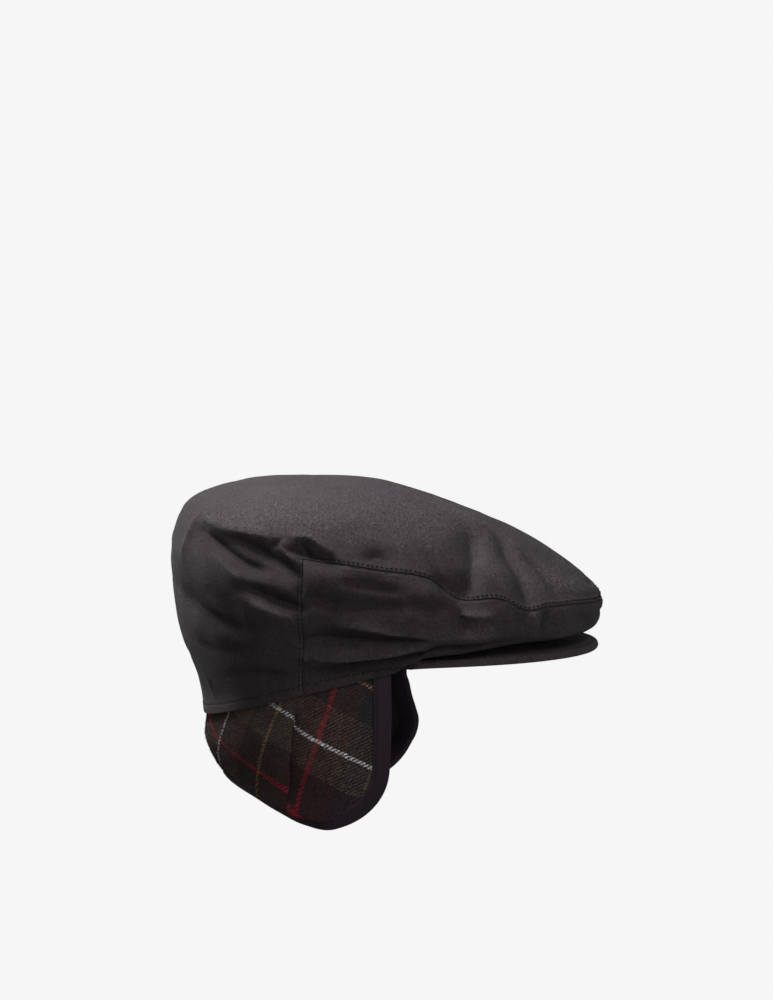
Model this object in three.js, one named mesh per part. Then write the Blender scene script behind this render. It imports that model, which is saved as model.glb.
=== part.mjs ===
// A flat cap of waxed cotton with a woollen flap folded down over the ears and the nape.
// Millimetres, +Z up, the peak towards -Y and the wearer's right side towards -X.
// The origin is the middle of the head opening. The cap is tipped as it is worn, peak up.
import * as THREE from "three";

// Head opening: an oval seen from above, which rises towards the peak
const headWidth = 160;
const headLength = 192;
const hemRise = 26; // from the middle of the opening up to its front
const hemSag = 5.6; // how far the front and back fall below a straight line

// Crown: reaches are measured from the middle of the head opening
const crownWidth = 198;
const crownFront = 166;
const crownBack = 116.2;
const crownHeight = 123.2;
const crownTilt = 0.06; // rise towards the back for each millimetre, at the middle of the top
const clothWall = 1.6;
const seamGap = 0.3; // between the edges of two pieces that are sewn together
const sideSeamAngle = 97; // where the upright seams stand at the rim, in degrees from the front
const sideSeamLean = 4; // degrees by which they run back on their way down to the hem
const sideSeamReach = 30; // degrees on each side over which the cloth leans with them
const foldDepth = 6; // the deepest fold

// Peak
const peakReach = 68; // forward of the hem
const peakWidth = 143;
const peakThickness = 4.5;
const peakAngle = 61; // half of the stretch of hem that carries the peak, in degrees
const peakTipHeight = 17.5;
const peakArch = 1.6;

// Flap, from its hem line down
const flapEarDepth = 94.8;
const flapNapeDepth = 52;
const flapFrontDepth = 61; // straight front edge, before the round corner
const flapTuck = 9; // hidden above the hem, inside the crown
const flapFrontAngle = 113.2; // in degrees from the nape
const flapEarAngle = 90; // where the flap is deepest
const flapCornerFullness = 2.4; // 2 is an ellipse, and more is squarer
const flapPuff = 3.6; // how far it swells out below the hem at the nape
const flapFrontPuff = 2.4; // and at its front edge
const pleatDepth = 2.8;
const pleatWidth = 9;
const tartanWall = 1.6;
const liningWall = 1;
const bindingWidth = 11.5;
const bindingWall = 1;
const bindingRoom = 0.6; // between the binding and the cloths that it holds
const pieceGap = 0.3;

const degree = Math.PI / 180;
const halfTurn = Math.PI / degree;
const fullTurn = 2 * halfTurn;
const halfWidth = headWidth / 2;
const halfLength = headLength / 2;
const peakEndAngle = peakAngle + 1.5; // where the hem begins to come down beside the peak
const hemDownAngle = peakEndAngle + 3; // where it is down

// Crown sections, in degrees from the front. full swells the plain oval of the rim. Out is a share of
// the way from the hem to the rim, and in a share of the rim's own reach. Tuck and belly stand at shares
// of the way from the hem up to the rim, the rim at a share of the crown's height, and the rest at
// shares of the way from the rim to the top.
const crownSections = [
  { angle: 0, full: 1, tuckOut: 0.45, tuckUp: 0.1, bellyOut: 0.9, bellyUp: 0.3, rimUp: 0.323,
    seamIn: 0.995, seamUp: 0.1, shoulderIn: 0.915, shoulderUp: 0.3, crestIn: 0.575, crestUp: 0.7 },
  { angle: 20, full: 1.015, tuckOut: 0.45, tuckUp: 0.1, bellyOut: 0.9, bellyUp: 0.38, rimUp: 0.323,
    seamIn: 0.995, seamUp: 0.125, shoulderIn: 0.9, shoulderUp: 0.32, crestIn: 0.56, crestUp: 0.715 },
  { angle: 40, full: 1.035, tuckOut: 0.38, tuckUp: 0.12, bellyOut: 0.84, bellyUp: 0.44, rimUp: 0.333,
    seamIn: 0.99, seamUp: 0.155, shoulderIn: 0.85, shoulderUp: 0.43, crestIn: 0.48, crestUp: 0.81 },
  { angle: 60, full: 1.03, tuckOut: 0.25, tuckUp: 0.14, bellyOut: 0.72, bellyUp: 0.35, rimUp: 0.356,
    seamIn: 0.98, seamUp: 0.255, shoulderIn: 0.8, shoulderUp: 0.609, crestIn: 0.42, crestUp: 0.895 },
  { angle: 80, full: 1, tuckOut: 0.18, tuckUp: 0.168, bellyOut: 0.55, bellyUp: 0.43, rimUp: 0.403,
    seamIn: 0.967, seamUp: 0.405, shoulderIn: 0.8, shoulderUp: 0.745, crestIn: 0.43, crestUp: 0.94 },
  { angle: 100, full: 1.01, tuckOut: 0.12, tuckUp: 0.18, bellyOut: 0.45, bellyUp: 0.447, rimUp: 0.445,
    seamIn: 0.965, seamUp: 0.457, shoulderIn: 0.82, shoulderUp: 0.785, crestIn: 0.45, crestUp: 0.96 },
  { angle: 125, full: 1.03, tuckOut: 0.12, tuckUp: 0.15, bellyOut: 0.54, bellyUp: 0.45, rimUp: 0.502,
    seamIn: 0.975, seamUp: 0.45, shoulderIn: 0.85, shoulderUp: 0.8, crestIn: 0.47, crestUp: 0.97 },
  { angle: 150, full: 1.035, tuckOut: 0.15, tuckUp: 0.2, bellyOut: 0.66, bellyUp: 0.52, rimUp: 0.558,
    seamIn: 0.985, seamUp: 0.4, shoulderIn: 0.87, shoulderUp: 0.79, crestIn: 0.48, crestUp: 0.98 },
  { angle: 180, full: 1, tuckOut: 0.2, tuckUp: 0.255, bellyOut: 0.72, bellyUp: 0.56, rimUp: 0.582,
    seamIn: 0.985, seamUp: 0.37, shoulderIn: 0.88, shoulderUp: 0.775, crestIn: 0.5, crestUp: 0.98 },
];

// Knots along a crown section, from the hem to the top
const knotNames = ["hem", "tuck", "belly", "rim", "seam", "shoulder", "crest", "top"];
const knotSeam = knotNames.indexOf("seam");
const knotTop = knotNames.indexOf("top");

// How far the seam of the top panel wanders along the cloth, in shares of the way to the next knot.
const seamDrops = [
  { angle: 0, drop: 0 },
  { angle: 30, drop: -0.03 },
  { angle: 38, drop: 0.05 },
  { angle: 44, drop: 0.22 },
  { angle: 50, drop: -0.05 },
  { angle: 60, drop: 0.12 },
  { angle: 66, drop: -0.16 },
  { angle: 78, drop: -0.02 },
  { angle: 90, drop: 0 },
];

// Main folds of the crown, each a long dent between two places on the cloth, in degrees from the front
// (the wearer's left side is minus) and in knots. width is a share of the crown's height and depth a
// share of foldDepth; a minus depth is a ridge.
const crownFolds = [
  { fromAngle: 40, fromKnot: 5.6, toAngle: 62, toKnot: 4.7, width: 0.15, depth: 0.6 },
  { fromAngle: 65, fromKnot: 4.7, toAngle: 61, toKnot: 4, width: 0.14, depth: 0.85 },
  { fromAngle: 49, fromKnot: 5, toAngle: 55, toKnot: 4.2, width: 0.14, depth: -0.4 },
  { fromAngle: 37, fromKnot: 5.2, toAngle: 44, toKnot: 4.1, width: 0.11, depth: 0.6 },
  { fromAngle: 82, fromKnot: 4.2, toAngle: 74, toKnot: 4.45, width: 0.1, depth: 0.35 },
  { fromAngle: 100, fromKnot: 4.35, toAngle: 88, toKnot: 4.35, width: 0.13, depth: 0.5 },
  { fromAngle: 134, fromKnot: 4.35, toAngle: 108, toKnot: 3.75, width: 0.13, depth: 0.6 },
  { fromAngle: 119, fromKnot: 4.25, toAngle: 99, toKnot: 3.85, width: 0.08, depth: 0.45 },
  { fromAngle: 116, fromKnot: 3.25, toAngle: 98, toKnot: 3.05, width: 0.08, depth: 0.5 },
  { fromAngle: 98, fromKnot: 3.4, toAngle: 82, toKnot: 3.2, width: 0.11, depth: 0.35 },
  { fromAngle: 93, fromKnot: 2.65, toAngle: 82, toKnot: 2.3, width: 0.11, depth: 0.4 },
  { fromAngle: 96, fromKnot: 2, toAngle: 70, toKnot: 2.25, width: 0.09, depth: -0.25 },
  { fromAngle: -45, fromKnot: 5.4, toAngle: -60, toKnot: 4.2, width: 0.16, depth: 0.6 },
  { fromAngle: -128, fromKnot: 4.4, toAngle: -106, toKnot: 3.8, width: 0.14, depth: 0.5 },
  { fromAngle: -96, fromKnot: 3.3, toAngle: -78, toKnot: 3.1, width: 0.12, depth: 0.35 },
];

// Flap sections from the nape to its deepest place over the ear. angle is a share of flapEarAngle,
// depth a share of the way from flapNapeDepth to flapEarDepth, and turn the degrees by which the
// lower edge leans inwards.
const flapSections = [
  { angle: 0, depth: 0, turn: 52 },
  { angle: 0.23, depth: 0.055, turn: 50 },
  { angle: 0.45, depth: 0.25, turn: 44 },
  { angle: 0.68, depth: 0.62, turn: 34 },
  { angle: 0.85, depth: 0.86, turn: 22 },
  { angle: 1, depth: 1, turn: 15 },
];

// The pleat that turns the flap round the ear: shares of flapEarAngle at the hem and at the edge.
const pleatTop = 0.84;
const pleatBottom = 0.75;

// Value of a column at a place between the rows, on a smooth curve that is level at both ends.
function between(rows, column, x) {
  const last = rows.length - 1;
  const at = Math.min(Math.max(x, rows[0].angle), rows[last].angle);
  let i = 0;
  while (i < last - 1 && at > rows[i + 1].angle) i += 1;
  const slope = (k) => {
    if (k === 0 || k === last) return 0;
    return (rows[k + 1][column] - rows[k - 1][column]) / (rows[k + 1].angle - rows[k - 1].angle);
  };
  const span = rows[i + 1].angle - rows[i].angle;
  const s = (at - rows[i].angle) / span;
  const start = rows[i][column] * (1 + 2 * s) * (1 - s) ** 2 + slope(i) * span * s * (1 - s) ** 2;
  const end = rows[i + 1][column] * s * s * (3 - 2 * s) - slope(i + 1) * span * s * s * (1 - s);
  return start + end;
}

function smoothStep(low, high, x) {
  const s = Math.min(Math.max((x - low) / (high - low), 0), 1);
  return s * s * (3 - 2 * s);
}

// An angle from the front, brought to between -180 and 180 degrees.
function wrapped(angle) {
  return ((((angle + halfTurn) % fullTurn) + fullTurn) % fullTurn) - halfTurn;
}

// Height of the hem at a distance y behind the middle of the head opening.
function hemHeight(y) {
  const share = y / halfLength;
  return -hemRise * share - hemSag * share * share;
}

// Reach of the rim's oval along the head, which passes softly from crownBack to crownFront. forward is
// 1 at the front and -1 at the back.
function crownReach(forward) {
  const softness = 0.15;
  const share = forward * Math.sqrt((1 + softness) / (forward * forward + softness));
  return (crownFront + crownBack) / 2 + ((crownFront - crownBack) / 2) * share;
}

// The knots of one crown section.
function crownKnots(angle) {
  const turn = Math.abs(wrapped(angle));
  const row = (column) => between(crownSections, column, turn);
  const across = -Math.sin(angle * degree);
  const along = -Math.cos(angle * degree);
  const reach = crownReach(-along);
  const hemX = halfWidth * across;
  const hemY = halfLength * along;
  const rimX = (crownWidth / 2) * row("full") * across;
  const rimY = reach * row("full") * along;
  const overPeak = (peakThickness + pieceGap) * (1 - smoothStep(peakEndAngle, hemDownAngle, turn));
  const hemZ = hemHeight(hemY) + overPeak;
  const rimZ = crownHeight * row("rimUp");
  const low = (out, up) =>
    new THREE.Vector3(hemX + (rimX - hemX) * out, hemY + (rimY - hemY) * out, hemZ + (rimZ - hemZ) * up);
  const high = (inward, up) =>
    new THREE.Vector3(rimX * inward, rimY * inward, rimZ + (crownHeight - rimZ) * up);
  return [
    low(0, 0),
    low(row("tuckOut"), row("tuckUp")),
    low(row("bellyOut"), row("bellyUp")),
    low(1, 1),
    high(row("seamIn"), row("seamUp")),
    high(row("shoulderIn"), row("shoulderUp")),
    high(row("crestIn"), row("crestUp")),
    new THREE.Vector3(0, 0, crownHeight),
  ];
}

// Moves the lines beside the seam along the cloth, by as much as the seam wanders.
function seamShift(angle, t) {
  const drop = between(seamDrops, "drop", Math.abs(wrapped(angle)));
  return t - drop * Math.max(1 - Math.abs(t - knotSeam), 0);
}

// Turns the upright lines beside the side seams, which run back on their way down.
function seamLean(angle, t) {
  const turn = wrapped(angle);
  const beside = Math.max(1 - Math.abs(Math.abs(turn) - sideSeamAngle) / sideSeamReach, 0);
  return angle + Math.sign(turn) * sideSeamLean * beside * (1 - smoothStep(1, 3, t));
}

// A point of the crown before it is folded: a smooth curve through the knots of its section, which
// meets the slope of the top at the middle.
function plainCrown(angle, knot) {
  const knots = crownKnots(seamLean(angle, knot));
  const t = seamShift(angle, knot);
  const i = Math.min(Math.floor(t), knotTop - 1);
  const s = t - i;
  const slope = (k) => {
    if (k === 0) return knots[1].clone().sub(knots[0]);
    if (k < knotTop) return knots[k + 1].clone().sub(knots[k - 1]).multiplyScalar(0.5);
    const inward = knots[knotTop - 1].clone().negate();
    return new THREE.Vector3(inward.x, inward.y, inward.y * crownTilt);
  };
  return new THREE.Vector3()
    .addScaledVector(knots[i], (1 + 2 * s) * (1 - s) ** 2)
    .addScaledVector(slope(i), s * (1 - s) ** 2)
    .addScaledVector(knots[i + 1], s * s * (3 - 2 * s))
    .addScaledVector(slope(i + 1), s * s * (s - 1));
}

// Unit vectors on a surface: along it as the angle grows, up it, and out of it.
function surfaceFrame(surface, angle, t, top) {
  const [angleStep, knotStep] = [0.4, 0.02];
  const along = surface(angle + angleStep, t).sub(surface(angle - angleStep, t));
  const up = surface(angle, Math.min(t + knotStep, top)).sub(surface(angle, Math.max(t - knotStep, 0)));
  return { along, up, normal: up.clone().cross(along).normalize() };
}

function crownNormal(surface, angle, t) {
  if (t > knotTop - 0.05) return new THREE.Vector3(0, -crownTilt, 1).normalize();
  return surfaceFrame(surface, angle, t, knotTop).normal;
}

// Each fold's place and size on the cloth, in millimetres about its middle.
const folds = crownFolds.map((fold) => {
  const middleAngle = (fold.fromAngle + fold.toAngle) / 2;
  const middleKnot = (fold.fromKnot + fold.toKnot) / 2;
  const perDegree = plainCrown(middleAngle + 1, middleKnot).distanceTo(plainCrown(middleAngle, middleKnot));
  const perKnot = plainCrown(middleAngle, middleKnot + 0.1).distanceTo(plainCrown(middleAngle, middleKnot)) * 10;
  const run = new THREE.Vector2(
    (fold.toAngle - fold.fromAngle) * perDegree,
    (fold.toKnot - fold.fromKnot) * perKnot,
  );
  return {
    middleAngle,
    middleKnot,
    perDegree,
    perKnot,
    direction: run.clone().normalize(),
    length: run.length(),
    width: fold.width * crownHeight,
    depth: fold.depth * foldDepth,
  };
});

// How far the folds press the cloth in at a place.
function foldPress(angle, t) {
  let press = 0;
  for (const fold of folds) {
    const away = new THREE.Vector2(
      wrapped(angle - fold.middleAngle) * fold.perDegree,
      (t - fold.middleKnot) * fold.perKnot,
    );
    const lengthwise = away.dot(fold.direction) / (fold.length / 2);
    const sideways = away.cross(fold.direction) / (fold.width / 2);
    press += fold.depth * Math.exp(-(lengthwise ** 2) - sideways ** 2);
  }
  return press;
}

function crownPoint(angle, t) {
  const point = plainCrown(angle, t);
  const press = foldPress(angle, t) * smoothStep(0, 1, t);
  return point.addScaledVector(crownNormal(plainCrown, angle, t), -press);
}

// A closed wall between two grids of points, with only the cells that keep(i, j) accepts.
// Grids are indexed [i][j], and the outer one is seen from outside with i running left.
function wallGeometry(outer, inner, keep, closed) {
  const columns = outer.length;
  const rows = outer[0].length;
  const cells = closed ? columns : columns - 1;
  const positions = [];
  const index = [];
  for (const grid of [outer, inner])
    for (const column of grid) for (const p of column) positions.push(p.x, p.y, p.z);
  const id = (side, i, j) => (side * columns + (i % columns)) * rows + j;
  const kept = (i, j) => {
    if (j < 0 || j >= rows - 1) return false;
    if (!closed && (i < 0 || i >= cells)) return false;
    return keep((i + cells) % cells, j);
  };
  const quad = (a, b, c, d) => index.push(a, b, c, a, c, d);
  // Both sides of a seam split their edge faces along the same diagonal, so that the gap stays even.
  const edge = (ia, ja, ib, jb) => quad(id(0, ia, ja), id(0, ib, jb), id(1, ib, jb), id(1, ia, ja));
  const facingEdge = (ia, ja, ib, jb) => quad(id(0, ib, jb), id(1, ib, jb), id(1, ia, ja), id(0, ia, ja));
  for (let i = 0; i < cells; i += 1)
    for (let j = 0; j < rows - 1; j += 1) {
      if (!kept(i, j)) continue;
      quad(id(0, i, j), id(0, i, j + 1), id(0, i + 1, j + 1), id(0, i + 1, j));
      quad(id(1, i, j), id(1, i + 1, j), id(1, i + 1, j + 1), id(1, i, j + 1));
      if (!kept(i, j - 1)) edge(i, j, i + 1, j);
      if (!kept(i, j + 1)) facingEdge(i + 1, j + 1, i, j + 1);
      if (!kept(i - 1, j)) facingEdge(i, j + 1, i, j);
      if (!kept(i + 1, j)) edge(i + 1, j, i + 1, j + 1);
    }
  return weld(positions, index);
}

// Drops faces without area, such as those at a pole, and points that no face uses.
function weld(positions, index) {
  const seen = new Map();
  const kept = [];
  const faces = [];
  const key = (i) => positions.slice(3 * i, 3 * i + 3).map((v) => v.toFixed(4)).join();
  const place = (i) => {
    const k = key(i);
    if (!seen.has(k)) {
      seen.set(k, kept.length / 3);
      kept.push(...positions.slice(3 * i, 3 * i + 3));
    }
    return seen.get(k);
  };
  for (let f = 0; f < index.length; f += 3) {
    const [a, b, c] = [place(index[f]), place(index[f + 1]), place(index[f + 2])];
    if (a !== b && b !== c && a !== c) faces.push(a, b, c);
  }
  const geometry = new THREE.BufferGeometry();
  geometry.setAttribute("position", new THREE.Float32BufferAttribute(kept, 3));
  geometry.setIndex(faces);
  geometry.computeVertexNormals();
  return geometry;
}

// Closed rings of points, joined in turn, with a flat end made of capTriangles.
function loftGeometry(rings, capTriangles) {
  const size = rings[0].length;
  const positions = rings.flat().flatMap((p) => [p.x, p.y, p.z]);
  const index = [];
  for (let r = 0; r < rings.length - 1; r += 1)
    for (let k = 0; k < size; k += 1) {
      const [a, b] = [r * size + k, r * size + ((k + 1) % size)];
      index.push(a, b, b + size, a, b + size, a + size);
    }
  const last = (rings.length - 1) * size;
  for (const [a, b, c] of capTriangles) index.push(a, c, b, last + a, last + b, last + c);
  return weld(positions, index);
}

function namedMesh(name, geometry, material) {
  const mesh = new THREE.Mesh(geometry, material);
  mesh.name = name;
  return mesh;
}

function waxedCotton() {
  return new THREE.MeshStandardMaterial({ color: 0x2f2c2b, roughness: 0.55, metalness: 0 });
}

// The crown's three panels, cut from one grid: upright lines at angles and cross lines at knots, both
// doubled where a seam runs.
function makeCrown() {
  const angleStep = 5;
  const knotSteps = [2, 2, 2, 3, 3, 3, 2];
  const sideGap = seamGap / 2 / (crownWidth / 2) / degree;
  const frontGap = seamGap / 2 / headWidth / degree;
  const leftSeam = fullTurn - sideSeamAngle;
  const angles = [frontGap, fullTurn - frontGap];
  for (let a = angleStep; a < fullTurn; a += angleStep) {
    const clear = Math.min(Math.abs(a - sideSeamAngle), Math.abs(a - leftSeam));
    if (clear > angleStep / 3) angles.push(a);
  }
  for (const seam of [sideSeamAngle, leftSeam]) angles.push(seam - sideGap, seam + sideGap);
  angles.push(peakEndAngle, fullTurn - peakEndAngle);
  angles.sort((a, b) => a - b);

  const lines = [];
  knotSteps.forEach((steps, knot) => {
    for (let s = 0; s < steps; s += 1) {
      if (knot === knotSeam && s === 0) lines.push({ knot, side: -1 }, { knot, side: 1 });
      else lines.push({ knot: knot + s / steps, side: 0 });
    }
  });
  lines.push({ knot: knotTop, side: 0 });

  const outer = [];
  const inner = [];
  for (const angle of angles) {
    const frames = lines.map(({ knot, side }) => {
      const point = crownPoint(angle, knot);
      const normal = crownNormal(crownPoint, angle, knot);
      if (side) {
        const { up } = surfaceFrame(crownPoint, angle, knot, knotTop);
        point.addScaledVector(up.normalize(), (side * seamGap) / 2);
      }
      return { point, normal };
    });
    outer.push(frames.map(({ point }) => point));
    inner.push(frames.map(({ point, normal }) => point.clone().addScaledVector(normal, -clothWall)));
  }

  const above = (j) => lines[j].knot > knotSeam || lines[j].side > 0;
  const below = (j) => lines[j + 1].knot < knotSeam || lines[j + 1].side < 0;
  const within = (i, low, high) => angles[i] > low && (angles[i + 1] ?? fullTurn) < high;
  const panel = (name, keep) => namedMesh(name, wallGeometry(outer, inner, keep, true), waxedCotton());
  const crown = new THREE.Group();
  crown.add(
    panel("crown_top_back", (i, j) => above(j) || within(i, sideSeamAngle, leftSeam)),
    panel("side_panel_right", (i, j) => below(j) && within(i, 0, sideSeamAngle)),
    panel("side_panel_left", (i, j) => below(j) && within(i, leftSeam, fullTurn)),
  );
  return crown;
}

// The peak, one ring of points for each direction from its middle: over the top from the hem to the
// edge, round the edge, and back underneath.
function makePeak() {
  const steps = 32;
  const across = 5;
  const round = 4;
  const widest = 88 * degree;
  const cornerY = halfLength * Math.cos(peakAngle * degree);
  const tipY = halfLength + peakReach;
  const cornerZ = hemHeight(-cornerY) + peakThickness / 2;
  const rings = [];
  for (let i = 0; i <= steps; i += 1) {
    const turn = (1 - (2 * i) / steps) * widest;
    const hemTurn = (turn / widest) * peakAngle * degree;
    const baseX = -(halfWidth - clothWall) * Math.sin(hemTurn);
    const baseY = -(halfLength - clothWall) * Math.cos(hemTurn);
    const baseZ = hemHeight(baseY) + peakThickness / 2;
    const edgeX = (-peakWidth / 2) * Math.sin(turn);
    const edgeY = -cornerY - (tipY - cornerY) * Math.cos(turn);
    const edgeZ = cornerZ + (peakTipHeight - cornerZ) * Math.sqrt(Math.cos(turn));
    const reach = Math.hypot(edgeX - baseX, edgeY - baseY);
    const roundShare = Math.min(0.5, peakThickness / 2 / reach);
    const arch = (peakArch * reach) / peakReach;
    const place = (s, up) =>
      new THREE.Vector3(
        baseX + (edgeX - baseX) * s,
        baseY + (edgeY - baseY) * s,
        baseZ + (edgeZ - baseZ) * s + arch * Math.sin(Math.PI * s) + (up * peakThickness) / 2,
      );
    const flat = [];
    for (let k = 0; k <= across; k += 1) flat.push(((1 - roundShare) * k) / across);
    const bend = [];
    for (let k = 1; k < round; k += 1) bend.push((Math.PI * k) / round);
    rings.push([
      ...flat.map((s) => place(s, 1)),
      ...bend.map((a) => place(1 - roundShare + roundShare * Math.sin(a), Math.cos(a))),
      ...flat.reverse().map((s) => place(s, -1)),
    ]);
  }
  const size = rings[0].length;
  const ends = [];
  for (let k = 0; k < (size - 3) / 2; k += 1) ends.push([k, k + 1, size - 2 - k], [k, size - 2 - k, size - 1 - k]);
  ends.push([(size - 3) / 2, (size - 1) / 2, (size + 1) / 2]);
  return namedMesh("peak", loftGeometry(rings, ends), waxedCotton());
}

// Depth of the flap's free edge below the hem, along the cloth.
function flapDepth(angle) {
  const turn = Math.abs(angle);
  if (turn <= flapEarAngle) {
    const share = between(flapSections, "depth", turn / flapEarAngle);
    return flapNapeDepth + (flapEarDepth - flapNapeDepth) * share;
  }
  const s = Math.min((turn - flapEarAngle) / (flapFrontAngle - flapEarAngle), 1);
  const share = (1 - s ** flapCornerFullness) ** (1 / flapCornerFullness);
  return flapFrontDepth + (flapEarDepth - flapFrontDepth) * share;
}

// An angle in the flap's round front corner, at an even share of the way round it from the front.
function cornerAngle(share, frontAngle) {
  return flapEarAngle + (frontAngle - flapEarAngle) * Math.cos(share * 90 * degree) ** (2 / flapCornerFullness);
}

// A point of the flap's middle face, at an angle from the nape (the wearer's left side is minus) and a
// depth below the hem. Each section leaves the hem upright, swells out, and leans in as an arc towards
// its lower edge.
function flapPoint(angle, depth) {
  const turn = Math.abs(angle);
  const share = turn / flapEarAngle;
  const bindingAngle = bindingWidth / halfWidth / degree;
  const atBinding = smoothStep(flapEarAngle, flapFrontAngle - bindingAngle * 0.75, turn);
  const inset = clothWall + pieceGap + tartanWall + pieceGap / 2 + (bindingWall + bindingRoom) * atBinding;
  const full = flapDepth(Math.min(turn, flapEarAngle));
  const bend = (between(flapSections, "turn", share) * degree) / full;
  const down = Math.max(depth, 0);
  const inward = (1 - Math.cos(bend * down)) / bend;
  const fall = Math.sin(bend * down) / bend + Math.min(depth, 0);
  const fullPuff = flapPuff + (flapFrontPuff - flapPuff) * smoothStep(0, flapEarAngle, turn);
  const puff = fullPuff * smoothStep(pieceGap * 5, full / 3, depth);
  const pleatAt = pleatTop + (pleatBottom - pleatTop) * (down / full);
  const fromPleat = (share - pleatAt) * flapEarAngle * degree * halfWidth;
  const pleatEnds = smoothStep(0, full / 4, depth) * (1 - smoothStep(full * 0.7, full - bindingWidth, depth));
  const pleat = pleatDepth * Math.exp(-((fromPleat / (pleatWidth / 2)) ** 2)) * pleatEnds;
  const across = -Math.sin(angle * degree);
  const along = Math.cos(angle * degree);
  const out = new THREE.Vector2(across / halfWidth, along / halfLength).normalize();
  const reach = puff - pleat - inset - inward;
  return new THREE.Vector3(
    halfWidth * across + out.x * reach,
    halfLength * along + out.y * reach,
    hemHeight(halfLength * along) - fall,
  );
}

// Steps on the flap's middle face for one degree and one millimetre of depth, and its outward normal.
function flapFrame(angle, depth) {
  const along = flapPoint(angle + 0.5, depth).sub(flapPoint(angle - 0.5, depth));
  const down = flapPoint(angle, depth + 0.5).sub(flapPoint(angle, depth - 0.5));
  return { along, down, normal: down.clone().cross(along).normalize() };
}

function flapLayerPoint(angle, depth, height) {
  return flapPoint(angle, depth).addScaledVector(flapFrame(angle, depth).normal, height);
}

// One cloth of the flap, between two heights over its middle face. It ends inside the binding, and its
// cross lines stand closer together under the binding and just below the hem.
function flapCloth(name, high, low, material) {
  const earSteps = 15;
  const cornerSteps = 5;
  const middleSteps = 3;
  const edgeInset = bindingWall + 2 * bindingRoom;
  const frontInset = (bindingWall + bindingRoom) / halfWidth / degree;
  const frontAngle = flapFrontAngle - frontInset;
  const turns = [];
  for (let k = earSteps; k >= -earSteps; k -= 1) turns.push((k / earSteps) * flapEarAngle);
  for (let k = cornerSteps - 1; k >= 0; k -= 1) {
    const turn = cornerAngle(k / cornerSteps, frontAngle);
    turns.unshift(turn);
    turns.push(-turn);
  }
  const edgeDepth = (angle) => {
    const past = Math.max(Math.abs(angle) - flapEarAngle, 0) / (frontAngle - flapEarAngle);
    const turn = past > 0 ? flapEarAngle + (flapFrontAngle - flapEarAngle) * past : angle;
    return flapDepth(turn) - edgeInset;
  };
  const grid = (height) =>
    turns.map((angle) => {
      const edge = edgeDepth(angle);
      const [lower, upper] = [edge - bindingWidth, flapTuck * 2];
      const depths = [edge, edge - bindingWidth / 2];
      for (let k = 0; k <= middleSteps; k += 1) depths.push(lower + ((upper - lower) * k) / middleSteps);
      depths.push((upper * 2) / 3, upper / 3, pieceGap * 3, -flapTuck);
      return depths.map((depth) => flapLayerPoint(angle, depth, height));
    });
  return namedMesh(name, wallGeometry(grid(high), grid(low), () => true, false), material);
}

// The tape folded over the free edge, a section carried from the hem at one temple, round the ears and
// the nape, to the hem at the other.
function makeBinding() {
  const straightSteps = 7;
  const cornerSteps = 8;
  const earSteps = 18;
  const top = tartanWall + pieceGap / 2 + bindingRoom;
  const bottom = -(liningWall + pieceGap / 2 + bindingRoom);
  const middle = bindingWidth / 2;
  const section = [
    [bindingWidth, top + bindingWall],
    [middle, top + bindingWall],
    [bindingWall, top + bindingWall],
    [0, top],
    [0, bottom],
    [bindingWall, bottom - bindingWall],
    [middle, bottom - bindingWall],
    [bindingWidth, bottom - bindingWall],
    [bindingWidth, bottom],
    [middle, bottom],
    [bindingWall, bottom],
    [bindingWall, top],
    [middle, top],
    [bindingWidth, top],
  ];
  const route = [];
  for (let k = 0; k < straightSteps; k += 1)
    route.push([flapFrontAngle, -flapTuck + ((flapFrontDepth + flapTuck) * k) / straightSteps]);
  for (let k = 0; k <= cornerSteps; k += 1) {
    const turn = cornerAngle(k / cornerSteps, flapFrontAngle);
    route.push([turn, flapDepth(turn)]);
  }
  for (let k = 1; k <= earSteps; k += 1) {
    const turn = flapEarAngle * (1 - k / earSteps);
    route.push([turn, flapDepth(turn)]);
  }
  const mirrored = route.slice(0, -1).reverse().map(([angle, depth]) => [-angle, depth]);
  const path = [...route, ...mirrored];

  // A step of the route turned square to it, in degrees and millimetres of depth for each millimetre.
  const inwardStep = (k) => {
    const [angle, depth] = path[k];
    const before = path[Math.max(k - 1, 0)];
    const after = path[Math.min(k + 1, path.length - 1)];
    const { along, down, normal } = flapFrame(angle, depth);
    const tangent = along.clone().multiplyScalar(after[0] - before[0]).addScaledVector(down, after[1] - before[1]);
    const inward = tangent.clone().cross(normal).normalize();
    const [aa, ad, dd] = [along.dot(along), along.dot(down), down.dot(down)];
    const [ia, id] = [inward.dot(along), inward.dot(down)];
    const area = aa * dd - ad * ad;
    return [(ia * dd - id * ad) / area, (id * aa - ia * ad) / area];
  };
  const rings = path.map(([angle, depth], k) => {
    const [angleStep, depthStep] = inwardStep(k);
    return section.map(([inward, height]) =>
      flapLayerPoint(angle + angleStep * inward, depth + depthStep * inward, height),
    );
  });
  rings.reverse();
  const outline = section.map(([x, y]) => new THREE.Vector2(x, y));
  const ends = THREE.ShapeUtils.triangulateShape(outline, []);
  const material = new THREE.MeshStandardMaterial({ color: 0x1b161e, roughness: 0.8, metalness: 0 });
  return namedMesh("flap_binding", loftGeometry(rings, ends), material);
}

function makeFlap() {
  const flap = new THREE.Group();
  const wool = new THREE.MeshStandardMaterial({ color: 0x3a362c, roughness: 0.95, metalness: 0 });
  const plainCloth = new THREE.MeshStandardMaterial({ color: 0x171515, roughness: 0.85, metalness: 0 });
  flap.add(
    flapCloth("flap_tartan", tartanWall + pieceGap / 2, pieceGap / 2, wool),
    flapCloth("flap_lining", -pieceGap / 2, -pieceGap / 2 - liningWall, plainCloth),
    makeBinding(),
  );
  return flap;
}

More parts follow.
